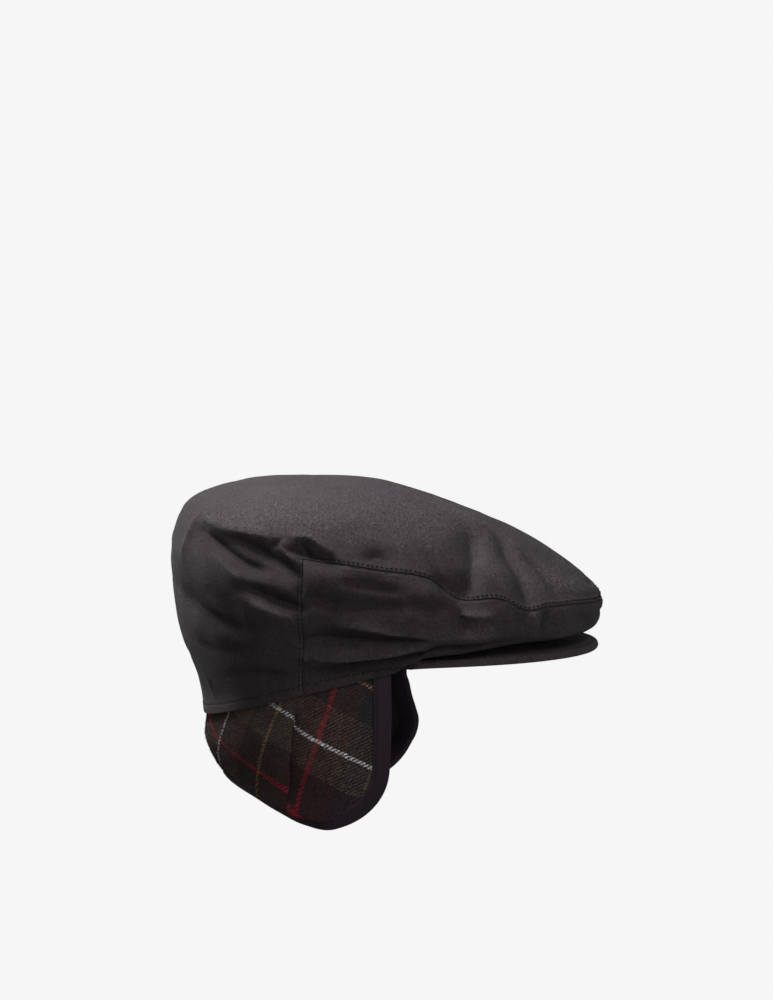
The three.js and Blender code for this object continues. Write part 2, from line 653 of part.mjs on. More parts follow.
const cap = new THREE.Group();
cap.name = "flat_cap";
cap.add(makeCrown(), makePeak(), makeFlap());

export default cap;
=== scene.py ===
# A flat cap of waxed cotton with a woollen check flap folded down over the ears and the nape.
# Lengths are millimetres here, and metres once they are in a mesh. The peak points towards -Y.
import math

import bpy
import numpy as np
from mathutils import Matrix, Vector
from mathutils.geometry import tessellate_polygon


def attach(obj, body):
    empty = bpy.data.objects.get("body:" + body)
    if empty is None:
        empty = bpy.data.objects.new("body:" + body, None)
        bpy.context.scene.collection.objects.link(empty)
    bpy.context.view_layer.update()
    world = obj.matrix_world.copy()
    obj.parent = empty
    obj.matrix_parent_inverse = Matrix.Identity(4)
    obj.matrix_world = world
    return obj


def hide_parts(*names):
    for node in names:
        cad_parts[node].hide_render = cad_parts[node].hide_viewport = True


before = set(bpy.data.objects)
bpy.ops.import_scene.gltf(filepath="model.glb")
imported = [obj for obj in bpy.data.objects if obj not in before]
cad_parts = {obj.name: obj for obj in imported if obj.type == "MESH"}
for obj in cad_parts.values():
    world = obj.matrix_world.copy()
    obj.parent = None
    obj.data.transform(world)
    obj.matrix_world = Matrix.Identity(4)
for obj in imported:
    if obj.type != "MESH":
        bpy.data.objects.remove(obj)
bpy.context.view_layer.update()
rng = np.random.default_rng(7)
print("frame loaded")

# Sizes that more than one piece follows
hem = {"halfWidth": 80.0, "halfLength": 96.0, "rise": 26.0, "sag": 5.6}
crown = {
    "width": 198.0, "front": 166.0, "back": 116.2, "height": 123.2, "tilt": 0.06, "wall": 1.6,
    "gap": 0.3, "sideSeam": 97.0, "seamLean": 4.0, "seamReach": 30.0, "seamWander": 0.3,
    "foldDepth": 2.4, "creaseDepth": 1.75,
}
peak = {
    "reach": 68.0, "width": 143.0, "thickness": 4.5, "angle": 61.0, "tipHeight": 17.5,
    "arch": 1.6, "gap": 0.3,
}
flap = {
    "earDepth": 94.8, "napeDepth": 52.0, "frontDepth": 61.0, "tuck": 9.0, "frontAngle": 113.2,
    "earAngle": 90.0, "fullness": 2.4, "puff": 3.6, "frontPuff": 2.4, "pleatDepth": 2.8,
    "pleatWidth": 9.0, "pleatTop": 0.84, "pleatBottom": 0.75, "tartanWall": 1.6, "liningWall": 1.0,
    "gap": 0.3,
}
tape = {"width": 11.5, "wall": 1.0, "room": 0.6}
knotSeam, knotTop = 4, 7

# Crown sections from the front to the back, as shares: see crownKnots.
sectionAngles = [0, 20, 40, 60, 80, 100, 125, 150, 180]
sections = {
    "full": [1, 1.015, 1.035, 1.03, 1, 1.01, 1.03, 1.035, 1],
    "tuckOut": [0.45, 0.45, 0.38, 0.25, 0.18, 0.12, 0.12, 0.15, 0.2],
    "tuckUp": [0.1, 0.1, 0.12, 0.14, 0.168, 0.18, 0.15, 0.2, 0.255],
    "bellyOut": [0.9, 0.9, 0.84, 0.72, 0.55, 0.45, 0.54, 0.66, 0.72],
    "bellyUp": [0.3, 0.38, 0.44, 0.35, 0.43, 0.447, 0.45, 0.52, 0.56],
    "rimUp": [0.323, 0.323, 0.333, 0.356, 0.403, 0.445, 0.502, 0.558, 0.582],
    "seamIn": [0.995, 0.995, 0.99, 0.98, 0.967, 0.965, 0.975, 0.985, 0.985],
    "seamUp": [0.1, 0.125, 0.155, 0.255, 0.405, 0.457, 0.45, 0.4, 0.37],
    "shoulderIn": [0.915, 0.9, 0.85, 0.8, 0.8, 0.82, 0.85, 0.87, 0.88],
    "shoulderUp": [0.3, 0.32, 0.43, 0.609, 0.745, 0.785, 0.8, 0.79, 0.775],
    "crestIn": [0.575, 0.56, 0.48, 0.42, 0.43, 0.45, 0.47, 0.48, 0.5],
    "crestUp": [0.7, 0.715, 0.81, 0.895, 0.94, 0.96, 0.97, 0.98, 0.98],
}
seamDropAngles = [0, 30, 38, 44, 50, 60, 66, 78, 90]
seamDrops = [0, -0.03, 0.05, 0.22, -0.05, 0.12, -0.16, -0.02, 0]

# Main folds: from (angle, knot), to (angle, knot), width as a share of the height, and depth as a
# share of foldDepth, minus for a ridge.
mainFolds = [
    (40, 5.6, 62, 4.7, 0.15, 0.6), (65, 4.7, 61, 4, 0.14, 0.85), (49, 5, 55, 4.2, 0.14, -0.4),
    (37, 5.2, 44, 4.1, 0.11, 0.6), (82, 4.2, 74, 4.45, 0.1, 0.35), (100, 4.35, 88, 4.35, 0.13, 0.5),
    (134, 4.35, 108, 3.75, 0.13, 0.6), (119, 4.25, 99, 3.85, 0.08, 0.45),
    (116, 3.25, 98, 3.05, 0.08, 0.5), (98, 3.4, 82, 3.2, 0.11, 0.35), (93, 2.65, 82, 2.3, 0.11, 0.4),
    (96, 2, 70, 2.25, 0.09, -0.25), (-45, 5.4, -60, 4.2, 0.16, 0.6), (-128, 4.4, -106, 3.8, 0.14, 0.5),
    (-96, 3.3, -78, 3.1, 0.12, 0.35),
]

# Flap sections from the nape to the ear: see flapPoint.
flapShares = [0, 0.23, 0.45, 0.68, 0.85, 1]
flapDepthShares = [0, 0.055, 0.25, 0.62, 0.86, 1]
flapTurns = [52, 50, 44, 34, 22, 15]


# Curves and grids
def alongTable(places, values, x):
    # Cubic curve through a table, level at both ends, each inner slope being that between its two
    # neighbours.
    at = np.asarray(places, float)
    v = np.asarray(values, float)
    slope = np.zeros(len(at))
    slope[1:-1] = (v[2:] - v[:-2]) / (at[2:] - at[:-2])
    x = np.clip(x, at[0], at[-1])
    i = np.clip(np.searchsorted(at, x, side="right") - 1, 0, len(at) - 2)
    span = at[i + 1] - at[i]
    s = (x - at[i]) / span
    start = v[i] * (1 + 2 * s) * (1 - s) ** 2 + slope[i] * span * s * (1 - s) ** 2
    return start + v[i + 1] * s * s * (3 - 2 * s) - slope[i + 1] * span * s * s * (1 - s)


def smoothStep(low, high, x):
    s = np.clip((x - low) / (high - low), 0, 1)
    return s * s * (3 - 2 * s)


def bell(distance, width):
    return np.exp(-(distance / width) ** 2)


def wrapped(angle):
    return (angle + 180) % 360 - 180


def dot(p, q):
    return (p * q).sum(-1)


def lengthOf(v):
    return np.linalg.norm(v, axis=-1)


def unit(v):
    return v / np.maximum(lengthOf(v)[..., None], 1e-9)


def runAlong(points):
    # Distance along a path to each of its points.
    return np.concatenate([[0], np.cumsum(lengthOf(np.diff(points, axis=0)))])


def spread(stops, step, finest, grow=0.3):
    # Places from the first stop to the last, a step apart but closer near the stops marked as fine.
    places = [np.array([stops[0][0]])]
    for (low, lowFine), (high, highFine) in zip(stops[:-1], stops[1:]):
        x = np.linspace(low, high, 2001)
        size = np.full_like(x, step)
        if lowFine:
            size = np.minimum(size, finest + grow * (x - low))
        if highFine:
            size = np.minimum(size, finest + grow * (high - x))
        count = np.concatenate([[0], np.cumsum((x[1:] - x[:-1]) * 2 / (size[1:] + size[:-1]))])
        n = max(int(round(count[-1])), 1)
        places.append(np.interp(np.linspace(0, count[-1], n + 1)[1:], count, x))
    return np.concatenate(places)


def ripple(points, waves, size):
    # Sum of plane waves through space, each with its own direction, length and phase.
    total = np.zeros(points.shape[:-1])
    for direction, length, phase in waves:
        total += np.sin(points @ direction * (2 * math.pi / length) + phase)
    return total * size / math.sqrt(len(waves))


def makeWaves(count, shortest, longest):
    directions = unit(rng.normal(size=(count, 3)))
    lengths = rng.uniform(shortest, longest, count)
    return list(zip(directions, lengths, rng.uniform(0, 2 * math.pi, count)))


def buildMesh(name, points, quads, triangles=None, uv=None, attributes=None):
    # A mesh in metres from points in millimetres, with only the points that a face uses.
    triangles = np.zeros((0, 3), int) if triangles is None else np.asarray(triangles)
    corners = np.concatenate([quads.reshape(-1), triangles.reshape(-1)])
    used, corners = np.unique(corners, return_inverse=True)
    sizes = np.concatenate([np.full(len(quads), 4), np.full(len(triangles), 3)])
    mesh = bpy.data.meshes.new(name)
    mesh.vertices.add(len(used))
    mesh.vertices.foreach_set("co", (points[used] * 0.001).astype(np.float32).reshape(-1))
    mesh.loops.add(len(corners))
    mesh.loops.foreach_set("vertex_index", corners.astype(np.int32))
    mesh.polygons.add(len(sizes))
    mesh.polygons.foreach_set("loop_start", (np.cumsum(sizes) - sizes).astype(np.int32))
    if uv is not None:
        layer = mesh.uv_layers.new(name="cloth")
        layer.data.foreach_set("uv", uv[used][corners].astype(np.float32).reshape(-1))
    for key, values in (attributes or {}).items():
        layer = mesh.attributes.new(name=key, type="FLOAT", domain="POINT")
        layer.data.foreach_set("value", values[used].astype(np.float32))
    mesh.update(calc_edges=True)
    mesh.validate()
    mesh.shade_smooth()
    mesh.set_sharp_from_angle(angle=math.radians(50))
    return mesh


def shellFaces(columns, rows, keep, closed):
    # Quads of a wall between an outer and an inner grid, with edge faces wherever a kept cell has no
    # kept neighbour.
    ids = np.arange(2 * columns * rows).reshape(2, columns, rows)
    cells = columns if closed else columns - 1
    i, j = np.meshgrid(np.arange(cells), np.arange(rows - 1), indexing="ij")
    n = (i + 1) % columns
    kept = np.zeros((cells + 2, rows + 1), bool)
    kept[1:-1, 1:-1] = keep
    if closed:
        kept[0], kept[-1] = kept[-2], kept[1]
    own = kept[1:-1, 1:-1]

    def quad(mask, *corners):
        return np.stack([ids[side][a, b] for side, a, b in corners], axis=-1)[mask]

    k = j + 1
    return np.concatenate([
        quad(own, (0, i, j), (0, i, k), (0, n, k), (0, n, j)),
        quad(own, (1, i, j), (1, n, j), (1, n, k), (1, i, k)),
        quad(own & ~kept[1:-1, :-2], (0, i, j), (0, n, j), (1, n, j), (1, i, j)),
        quad(own & ~kept[1:-1, 2:], (0, n, k), (0, i, k), (1, i, k), (1, n, k)),
        quad(own & ~kept[:-2, 1:-1], (0, i, k), (0, i, j), (1, i, j), (1, i, k)),
        quad(own & ~kept[2:, 1:-1], (0, n, j), (0, n, k), (1, n, k), (1, n, j)),
    ])


def sweptFaces(columns, size):
    # Quads of a closed section of so many points, carried along so many places.
    ids = np.arange(columns * size).reshape(columns, size)
    a, b = ids[:-1], ids[1:]
    return np.stack([a, np.roll(a, -1, axis=1), np.roll(b, -1, axis=1), b], -1).reshape(-1, 4)


def splitCollapsed(quads):
    # Quads with two equal neighbouring corners become triangles.
    same = quads == np.roll(quads, -1, axis=1)
    flat = same.any(axis=1)
    first = np.argmax(same[flat], axis=1)
    turned = np.take_along_axis(quads[flat], (first[:, None] + np.arange(1, 4)) % 4, axis=1)
    return quads[~flat], turned


def addPiece(name, mesh, material, nodes=()):
    piece = bpy.data.objects.new(name, mesh)
    bpy.context.collection.objects.link(piece)
    mesh.materials.append(material)
    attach(piece, "root")
    if nodes:
        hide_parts(*nodes)


# Crown surface
def hemHeight(y):
    share = y / hem["halfLength"]
    return -hem["rise"] * share - hem["sag"] * share * share


def crownKnots(angle):
    # Eight places up a section: hem, tuck and belly at shares of the way from hem to rim, then the
    # rim, and seam, shoulder and crest at shares of the rim's reach and of the way to the top.
    turn = np.abs(wrapped(angle))
    row = {key: alongTable(sectionAngles, values, turn) for key, values in sections.items()}
    across, along = -np.sin(np.radians(angle)), -np.cos(np.radians(angle))
    mean, half = (crown["front"] + crown["back"]) / 2, (crown["front"] - crown["back"]) / 2
    reach = mean - half * along * np.sqrt(1.15 / (along * along + 0.15))
    hemX, hemY = hem["halfWidth"] * across, hem["halfLength"] * along
    rimX, rimY = crown["width"] / 2 * row["full"] * across, reach * row["full"] * along
    end = peak["angle"] + 1.5
    overPeak = (peak["thickness"] + peak["gap"]) * (1 - smoothStep(end, end + 3, turn))
    hemZ = hemHeight(hemY) + overPeak
    rimZ = crown["height"] * row["rimUp"]
    top = crown["height"] + 0 * rimZ

    def low(out, up):
        x, y = hemX + (rimX - hemX) * out, hemY + (rimY - hemY) * out
        return np.stack([x, y, hemZ + (rimZ - hemZ) * up], -1)

    def high(inward, up):
        return np.stack([rimX * inward, rimY * inward, rimZ + (top - rimZ) * up], -1)

    return np.stack([
        low(0, 0), low(row["tuckOut"], row["tuckUp"]), low(row["bellyOut"], row["bellyUp"]), low(1, 1),
        high(row["seamIn"], row["seamUp"]), high(row["shoulderIn"], row["shoulderUp"]),
        high(row["crestIn"], row["crestUp"]), high(0, 1),
    ])


def plainCrown(angle, knot):
    # Smooth curve through the knots of a section. The lines beside the side seams lean back on their
    # way down, and those beside the top seam wander with it.
    angle, knot = np.broadcast_arrays(np.asarray(angle, float), np.asarray(knot, float))
    turn = wrapped(angle)
    beside = np.maximum(1 - np.abs(np.abs(turn) - crown["sideSeam"]) / crown["seamReach"], 0)
    leaned = angle + np.sign(turn) * crown["seamLean"] * beside * (1 - smoothStep(1, 3, knot))
    wander = crown["seamWander"] * np.sin(2.6 * knot + 0.4) * (1 - smoothStep(3.2, 4, knot))
    drop = alongTable(seamDropAngles, seamDrops, np.abs(turn))
    t = knot - drop * np.maximum(1 - np.abs(knot - knotSeam), 0)
    knots = crownKnots(leaned + beside * wander)
    slopes = np.empty_like(knots)
    slopes[0] = knots[1] - knots[0]
    slopes[1:-1] = (knots[2:] - knots[:-2]) / 2
    inward = -knots[-2]
    slopes[-1] = np.stack([inward[..., 0], inward[..., 1], inward[..., 1] * crown["tilt"]], -1)
    i = np.clip(np.floor(t).astype(int), 0, knotTop - 1)
    s = (t - i)[..., None]

    def pick(table, index):
        return np.take_along_axis(table, index[None, ..., None], axis=0)[0]

    return (
        pick(knots, i) * (1 + 2 * s) * (1 - s) ** 2 + pick(slopes, i) * s * (1 - s) ** 2
        + pick(knots, i + 1) * s * s * (3 - 2 * s) + pick(slopes, i + 1) * s * s * (s - 1)
    )


def plainNormal(angle, knot):
    along = plainCrown(angle + 0.4, knot) - plainCrown(angle - 0.4, knot)
    above, below = np.minimum(knot + 0.02, knotTop), np.maximum(knot - 0.02, 0)
    up = plainCrown(angle, above) - plainCrown(angle, below)
    top = unit(np.array([0, -crown["tilt"], 1.0]))
    return np.where((knot > knotTop - 0.05)[..., None], top, unit(np.cross(up, along)))


def mainPress(angle, knot):
    # Each main fold is a long soft dent, a bell along its length and across it, in millimetres about
    # its middle.
    press = np.zeros(np.broadcast(angle, knot).shape)
    for fromAngle, fromKnot, toAngle, toKnot, width, depth in mainFolds:
        midAngle, midKnot = (fromAngle + toAngle) / 2, (fromKnot + toKnot) / 2
        middle = plainCrown(midAngle, midKnot)
        perDegree = lengthOf(plainCrown(midAngle + 1, midKnot) - middle)
        perKnot = lengthOf(plainCrown(midAngle, midKnot + 0.1) - middle) * 10
        run = np.array([(toAngle - fromAngle) * perDegree, (toKnot - fromKnot) * perKnot])
        length = lengthOf(run)
        dx, dy = run / length
        x, y = wrapped(angle - midAngle) * perDegree, (knot - midKnot) * perKnot
        sideways = bell(x * dy - y * dx, width * crown["height"] / 2)
        press += depth * crown["foldDepth"] * bell(x * dx + y * dy, length / 2) * sideways
    return press


# Creases: the widths in millimetres on the left and right as one follows one outside the cap, the
# depth at its middle, minus for a ridge, and its path of (angle, knot).
creases = [
    (5.5, 11, 3.9, [(38.4, 5.65), (43.5, 5.39), (50.3, 4.96), (53.9, 4.57), (56.7, 4.28), (58.4, 4)]),
    (6, 9, 2.2, [(64.3, 4.11), (62, 4.17), (60.3, 4.12), (58.4, 4.03)]),
    (4.5, 8, 3.0, [(22.6, 5.8), (32.7, 5.37), (36.9, 4.99), (40.6, 4.52), (42.9, 4.1)]),
    (6, 5, 1.2, [(24.4, 5.45), (27, 5.19), (30.4, 4.79), (32, 4.31)]),
    (4, 4, -1.6, [(42.7, 3.9), (42.2, 3.4), (40.5, 2.7)]),
    (3, 3, 1.3, [(38.2, 3.83), (39.7, 3.22), (39.2, 2.51)]),
    (4, 4, -1.9, [(61, 3.42), (57, 3.38), (53, 3.42)]),
    (3.5, 3.5, 0.6, [(60, 3.1), (56, 3.08), (52, 3.12)]),
    (5, 5, -2.6, [(60, 2.6), (56, 2.62), (52, 2.7)]),
    (4, 5, 1.8, [(61.2, 3.68), (60.4, 3.29), (59.8, 2.72)]),
    (7, 6, -0.6, [(28, 6.45), (18, 6.2), (19.5, 5.78), (21.5, 5.54), (22, 5.3), (24.8, 4.92), (26, 4.43)]),
    (7, 7, 0.6, [(-22, 6.1), (-18, 5.95), (-6, 5.84), (5, 5.6)]),
    (5, 7, 2.6, [(135.1, 4.31), (126.6, 4.01), (116.8, 3.71), (107.7, 3.63)]),
    (6, 6, -1.6, [(128.7, 3.84), (121.8, 3.52), (116.2, 3.29)]),
    (4, 5, 2.2, [(119.3, 4.23), (111.3, 4.06), (103.4, 3.82), (97.5, 3.65)]),
    (2.5, 2.5, 1.0, [(103.9, 4.44), (105.6, 4.3), (107.9, 4.19)]),
    (4.5, 4.5, 2.7, [(115.8, 3.18), (109.8, 3.11), (103.1, 3.05), (97.2, 3.01)]),
    (5, 6, -1.5, [(115, 2.98), (109.6, 2.88), (103.7, 2.82), (97.8, 2.83)]),
    (5, 3.5, 3.0, [(101.5, 4.16), (97.5, 4.13), (93, 4.05), (88, 4)]),
    (2.2, 2.2, -1.8, [(103.9, 4.36), (103.8, 4.2), (102, 4.02), (98.5, 3.9)]),
    (3, 2.5, -1.2, [(101, 4.47), (96.4, 4.5), (92, 4.36), (88, 4.16)]),
    (1.8, 1.8, 1.0, [(98, 4.34), (96.4, 4.2), (95.6, 4.08)]),
    (5, 4, 1.4, [(80.6, 4.19), (77.4, 4.32), (74.5, 4.23)]),
    (8, 5, 2.2, [(95.7, 3.3), (91.4, 3.17), (86.4, 3.18)]),
    (4, 4, 1.5, [(85.9, 3.62), (79.5, 3.63), (73, 3.61)]),
    (5, 6, 1.7, [(88.8, 3.1), (80.4, 3.25), (71.9, 3.31)]),
    (5, 6, 1.3, [(71.8, 3.46), (68.1, 3.36), (63.9, 3.46)]),
    (3.5, 3.5, -1.9, [(86, 2.72), (79.5, 2.72), (74.3, 2.64), (68.6, 2.62), (63, 2.55)]),
    (5, 4, 3.6, [(96.5, 2.36), (85.3, 2.4), (73.6, 2.45), (66, 2.56)]),
    (5, 4, -4.3, [(95.6, 1.96), (85, 1.96), (78, 2.04), (73, 2.18), (67.7, 2.32)]),
    (4, 3, 3.4, [(91, 1.4), (84, 1.45), (80.2, 1.53), (74.3, 1.76), (67.1, 2.0), (56.6, 2.1), (46.5, 2.07)]),
    (3, 3, -0.8, [(96, 1.9), (91.6, 1.57), (86.4, 1.06)]),
    (3, 3, -0.8, [(149.6, 1.36), (148.5, 1), (146.3, 0.48)]),
    (6, 6, 1.5, [(144.2, 2.08), (130.3, 2.04), (114.5, 2.19)]),
    (6, 7, 0.7, [(137.2, 2.55), (124.5, 2.45), (111, 2.47)]),
    (17, 7, 3.2, [(150, 2.65), (140, 2.62), (128, 2.52), (117, 2.5)]),
    (5, 5, 1.1, [(132.7, 1.47), (118.5, 1.62), (103.7, 1.31)]),
    (3, 3, -0.8, [(141.7, 4.75), (143.5, 4.42), (144.3, 3.9), (144.8, 3.22)]),
    (10, 4, -1.6, [(137, 4.66), (128, 4.46), (118, 4.42), (108, 4.4)]),
    (4, 4, -0.6, [(139.1, 5.73), (123.8, 6.17), (88.9, 6.51)]),
    (8, 9, 0.8, [(85, 4.82), (79, 4.92), (72, 4.86)]),
    (4, 4, 0.9, [(28.9, 3.66), (22.9, 3.17), (15.4, 2.73)]),
    (12, 7, 2.6, [(-45, 5.4), (-51, 5.1), (-57, 4.7), (-61, 4.35), (-62, 4)]),
    (5, 7, 1.7, [(-37, 5.1), (-43, 4.6), (-46, 4.1)]),
    (5, 5, 1.4, [(-66, 4.1), (-71, 4.16), (-76, 4.1)]),
    (5, 8, 2.6, [(-87, 4.05), (-92, 4.07), (-97, 4.07), (-101, 4.1)]),
    (6, 5, 2.2, [(-130, 4.3), (-119, 4), (-108, 3.8)]),
    (5, 4, 2.2, [(-114, 3.25), (-105, 3.15), (-98, 3.1)]),
    (6, 5, 1.6, [(-97, 3.3), (-88, 3.25), (-78, 3.15)]),
    (7, 7, 2.2, [(-96, 2.5), (-84, 2.4), (-72, 2.5)]),
    (3, 5, 2.0, [(-88, 1.35), (-76, 1.6), (-62, 1.9)]),
    (5, 4, 1.5, [(-60, 3.3), (-54, 3.2), (-46, 3.35)]),
    (6, 7, 1.5, [(-112, 2.3), (-126, 2.1), (-140, 2.2)]),
    (6, 8, 1.1, [(168, 4.6), (176, 4.35), (188, 4.3), (200, 4.5)]),
    (5, 7, 0.8, [(160, 3.5), (170, 3.35), (182, 3.3)]),
    (4, 6, 1.4, [(192, 3.7), (204, 3.45), (216, 3.5)]),
    (5, 6, 1.2, [(180, 2.6), (192, 2.4), (206, 2.5)]),
    (5, 6, 0.6, [(158, 1.7), (170, 1.5), (184, 1.5), (200, 1.6)]),
    (5, 6, 1.2, [(-20, 4.9), (-8, 4.7), (6, 4.75)]),
    (5, 5, 1.0, [(14, 3.2), (2, 3), (-12, 3.2)]),
    (7, 7, 1.0, [(-60, 6), (-90, 5.7), (-115, 5.5)]),
]


def smoothPath(places, count):
    # Evenly counted places on a smooth curve through the given ones.
    p = np.array(places, float)
    p = np.concatenate([2 * p[:1] - p[1:2], p, 2 * p[-1:] - p[-2:-1]])
    t = np.linspace(0, len(p) - 3 - 1e-9, count)
    i = t.astype(int)
    s = (t - i)[:, None]
    a, b, c, d = p[i], p[i + 1], p[i + 2], p[i + 3]
    return b + s * ((c - a) / 2 + s * (a - 2.5 * b + 2 * c - d / 2 + s * (1.5 * (b - c) + (d - a) / 2)))


def creasePress(points, normals):
    # Depth of the creases at each point: a pointed bell across the crease's path, with its own width
    # on either side, that fades in and out along it.
    press = np.zeros(points.shape[:-1])
    for left, right, depth, places in creases:
        path = smoothPath(places, 28)
        line = plainCrown(path[:, 0], path[:, 1])
        reach = 3.2 * max(left, right)
        low, high = line.min(0) - reach, line.max(0) + reach
        near = np.all((points > low) & (points < high), axis=-1)
        if not near.any():
            continue
        p, n = points[near], normals[near]
        away = p[:, None, :] - line[None]
        nearest = np.argmin(dot(away, away), axis=1)
        offset = away[np.arange(len(p)), nearest]
        step = np.gradient(line, axis=0)
        pace = lengthOf(step)[nearest]
        direction = unit(step)[nearest]
        ahead = dot(offset, direction)
        u = np.clip((nearest + np.clip(ahead / pace, -0.5, 0.5)) / (len(line) - 1), 0, 1)
        past = ahead - np.clip(ahead, -0.5 * pace, 0.5 * pace)
        offset = offset - direction * ahead[:, None]
        leftward = smoothStep(-1, 1, dot(offset, np.cross(n, direction)) / 1.5)
        width = right + (left - right) * leftward
        fade = smoothStep(-0.2, 0.3, u) * (1 - smoothStep(0.75, 1.15, u))
        far = (dot(offset, offset) + past ** 2) / width ** 2
        press[near] += crown["creaseDepth"] * depth * fade * np.exp(0.4 - np.sqrt(0.16 + 2.4 * far))
    return press


def seamDistances(angle, knot):
    # Distances to the top seam, the side seams and the hem, measured on the plain crown.
    angle, knot = np.broadcast_arrays(angle, knot)
    turn = wrapped(angle)
    side = np.sign(turn) * crown["sideSeam"]
    below = np.where(np.abs(turn) < crown["sideSeam"], turn, side)
    here = plainCrown(angle, knot)
    toTop = lengthOf(here - plainCrown(below, knotSeam))
    toSide = lengthOf(here - plainCrown(side, np.minimum(knot, knotSeam)))
    return toTop, toSide, lengthOf(here - plainCrown(angle, 0 * knot))


def rounding(distance, radius):
    # How far a rounded edge has fallen at a distance from it: a quarter circle.
    d = np.clip(distance, 0, radius)
    return radius - np.sqrt(np.maximum(radius ** 2 - (radius - d) ** 2, 0))


softWaves = makeWaves(14, 45, 110)
smallWaves = makeWaves(18, 12, 30)
stitching = {"fromSeam": 2.0, "fromHem": 6.6, "pitch": 3.0, "length": 2.0, "thick": 0.72}
# How proud the lapped and folded edges stand, how deep the stitched grooves and the seams sink, and
# the sizes of the ripples in the cloth.
relief = {
    "lap": 0.42, "hemFold": 0.35, "sideSwell": 0.2, "topSwell": 0.3, "topGroove": 0.34, "sideGroove": 0.26,
    "hemGroove": 0.42, "seamDip": 0.7, "deepest": 1.25, "pucker": 0.2, "soft": 0.5, "small": 0.13,
}


def crownSurface(angle, knot, panel):
    # Points of the outer and inner face, the outward normal, and how pale each place is painted: paler
    # where the seams and the hem rub, paler on ridges where wax rubs off, and darker in dents and creases as
    # painted shade. The outer face is the plain crown pressed in by folds, creases and ripples, with turned
    # edges at the seams and a doubled, topstitched hem. The inner one lies a wall below it without the seam
    # work.
    angle, knot = np.broadcast_arrays(np.asarray(angle, float), np.asarray(knot, float))
    plain, normal = plainCrown(angle, knot), plainNormal(angle, knot)
    toTop, toSide, toHem = seamDistances(angle, knot)
    turn = np.abs(wrapped(angle))
    nearSeam = np.minimum(toTop, toSide)
    press = mainPress(angle, knot) + creasePress(plain, normal)
    press += ripple(plain, softWaves, relief["soft"]) * (1 - 0.6 * smoothStep(5.5, 7, knot))
    press += ripple(plain, smallWaves, relief["small"])
    press += relief["pucker"] * np.sin(plain @ np.array([0.55, 0.62, 0.5])) * np.exp(-nearSeam / 5)
    press *= smoothStep(0, 1, knot)
    if panel == "topBack":
        groove = relief["topGroove"] * bell(toTop - stitching["fromSeam"], 0.5)
        lapped = relief["lap"] * (1 - smoothStep(2.4, 4.0, toTop)) - groove
        lapped *= 1 - smoothStep(crown["sideSeam"], crown["sideSeam"] + 3, turn)
        beside = -relief["seamDip"] * np.exp(-toSide / 1.5) - rounding(toSide, 0.6)
        beside -= relief["sideGroove"] * bell(toSide - stitching["fromSeam"], 0.5)
        lift = np.where(knot >= knotSeam, lapped - rounding(toTop, 0.9), beside)
    else:
        lift = relief["topSwell"] * bell(toTop - 2.2, 1.1) + relief["sideSwell"] * bell(toSide - 2.4, 1.1)
        lift -= (relief["seamDip"] + 0.05) * np.exp(-toTop / 0.9) + rounding(toTop, 0.5)
        lift -= relief["seamDip"] * np.exp(-toSide / 0.9) + rounding(toSide, 0.5)
        lift = np.maximum(lift, -relief["deepest"])
    outside = smoothStep(peak["angle"] + 1, peak["angle"] + 5, turn)
    fold = 1 - smoothStep(stitching["fromHem"] - 0.4, stitching["fromHem"] + 1.6, toHem)
    groove = relief["hemGroove"] * bell(toHem - stitching["fromHem"], 0.55)
    lift += outside * (relief["hemFold"] * fold - groove) - rounding(toHem, 0.8)
    outer = plain - normal * press[..., None]
    inner = outer - normal * crown["wall"]
    # Paler near the seams and the hem, where the cloth rubs, and paler on ridges; darker in dents and
    # creases: painted shade.
    wearAndPaintedLight = np.clip(0.5 - 0.28 * press, 0, 1) + 0.5 * np.exp(-nearSeam / 1.2)
    wearAndPaintedLight += 0.4 * np.exp(-toHem / 1.5) * outside
    return outer + normal * lift[..., None], inner, normal, np.clip(wearAndPaintedLight, 0, 1.4)


def makeCrownPanel(name, panel, columns, rows, keep, closed, nodes):
    angle, knot = np.meshgrid(columns, rows, indexing="ij")
    outer, inner, _, wearAndPaintedLight = crownSurface(angle, knot, panel)
    quads = shellFaces(len(columns), len(rows), keep(angle, knot), closed)
    triangles = None
    if closed:
        merged = np.arange(2 * angle.size).reshape(2, *angle.shape)
        merged[:, :, -1] = merged[:, :1, -1]
        quads, triangles = splitCollapsed(merged.reshape(-1)[quads])
    points = np.concatenate([outer.reshape(-1, 3), inner.reshape(-1, 3)])
    # The top panel takes a dust speckle that also lightens it on average, painted light on the top; the inner
    # face gets 0.3 of the rubbing and painted-shade marks.
    dustAndTopLight = smoothStep(knotSeam, knotSeam + 1, knot).reshape(-1)
    attributes = {
        "wearAndPaintedLight": np.concatenate([wearAndPaintedLight.reshape(-1), 0.3 * wearAndPaintedLight.reshape(-1)]),
        "dustAndTopLight": np.concatenate([dustAndTopLight, 0 * dustAndTopLight]),
    }
    mesh = buildMesh(name, points, quads, triangles, attributes=attributes)
    addPiece(name, mesh, waxedCotton, nodes)


# Materials
def newMaterial(name):
    material = bpy.data.materials.new(name)
    material.use_nodes = True
    tree = material.node_tree
    tree.nodes.clear()
    shader = tree.nodes.new("ShaderNodeBsdfPrincipled")
    output = tree.nodes.new("ShaderNodeOutputMaterial")
    tree.links.new(shader.outputs["BSDF"], output.inputs["Surface"])
    return material, tree, shader


def objectPlace(tree):
    return tree.nodes.new("ShaderNodeTexCoord").outputs["Object"]


def feed(tree, socket, value):
    if isinstance(value, bpy.types.NodeSocket):
        tree.links.new(value, socket)
    else:
        socket.default_value = value


def maths(tree, operation, *values):
    node = tree.nodes.new("ShaderNodeMath")
    node.operation = operation
    for socket, value in zip(node.inputs, values):
        feed(tree, socket, value)
    return node.outputs[0]


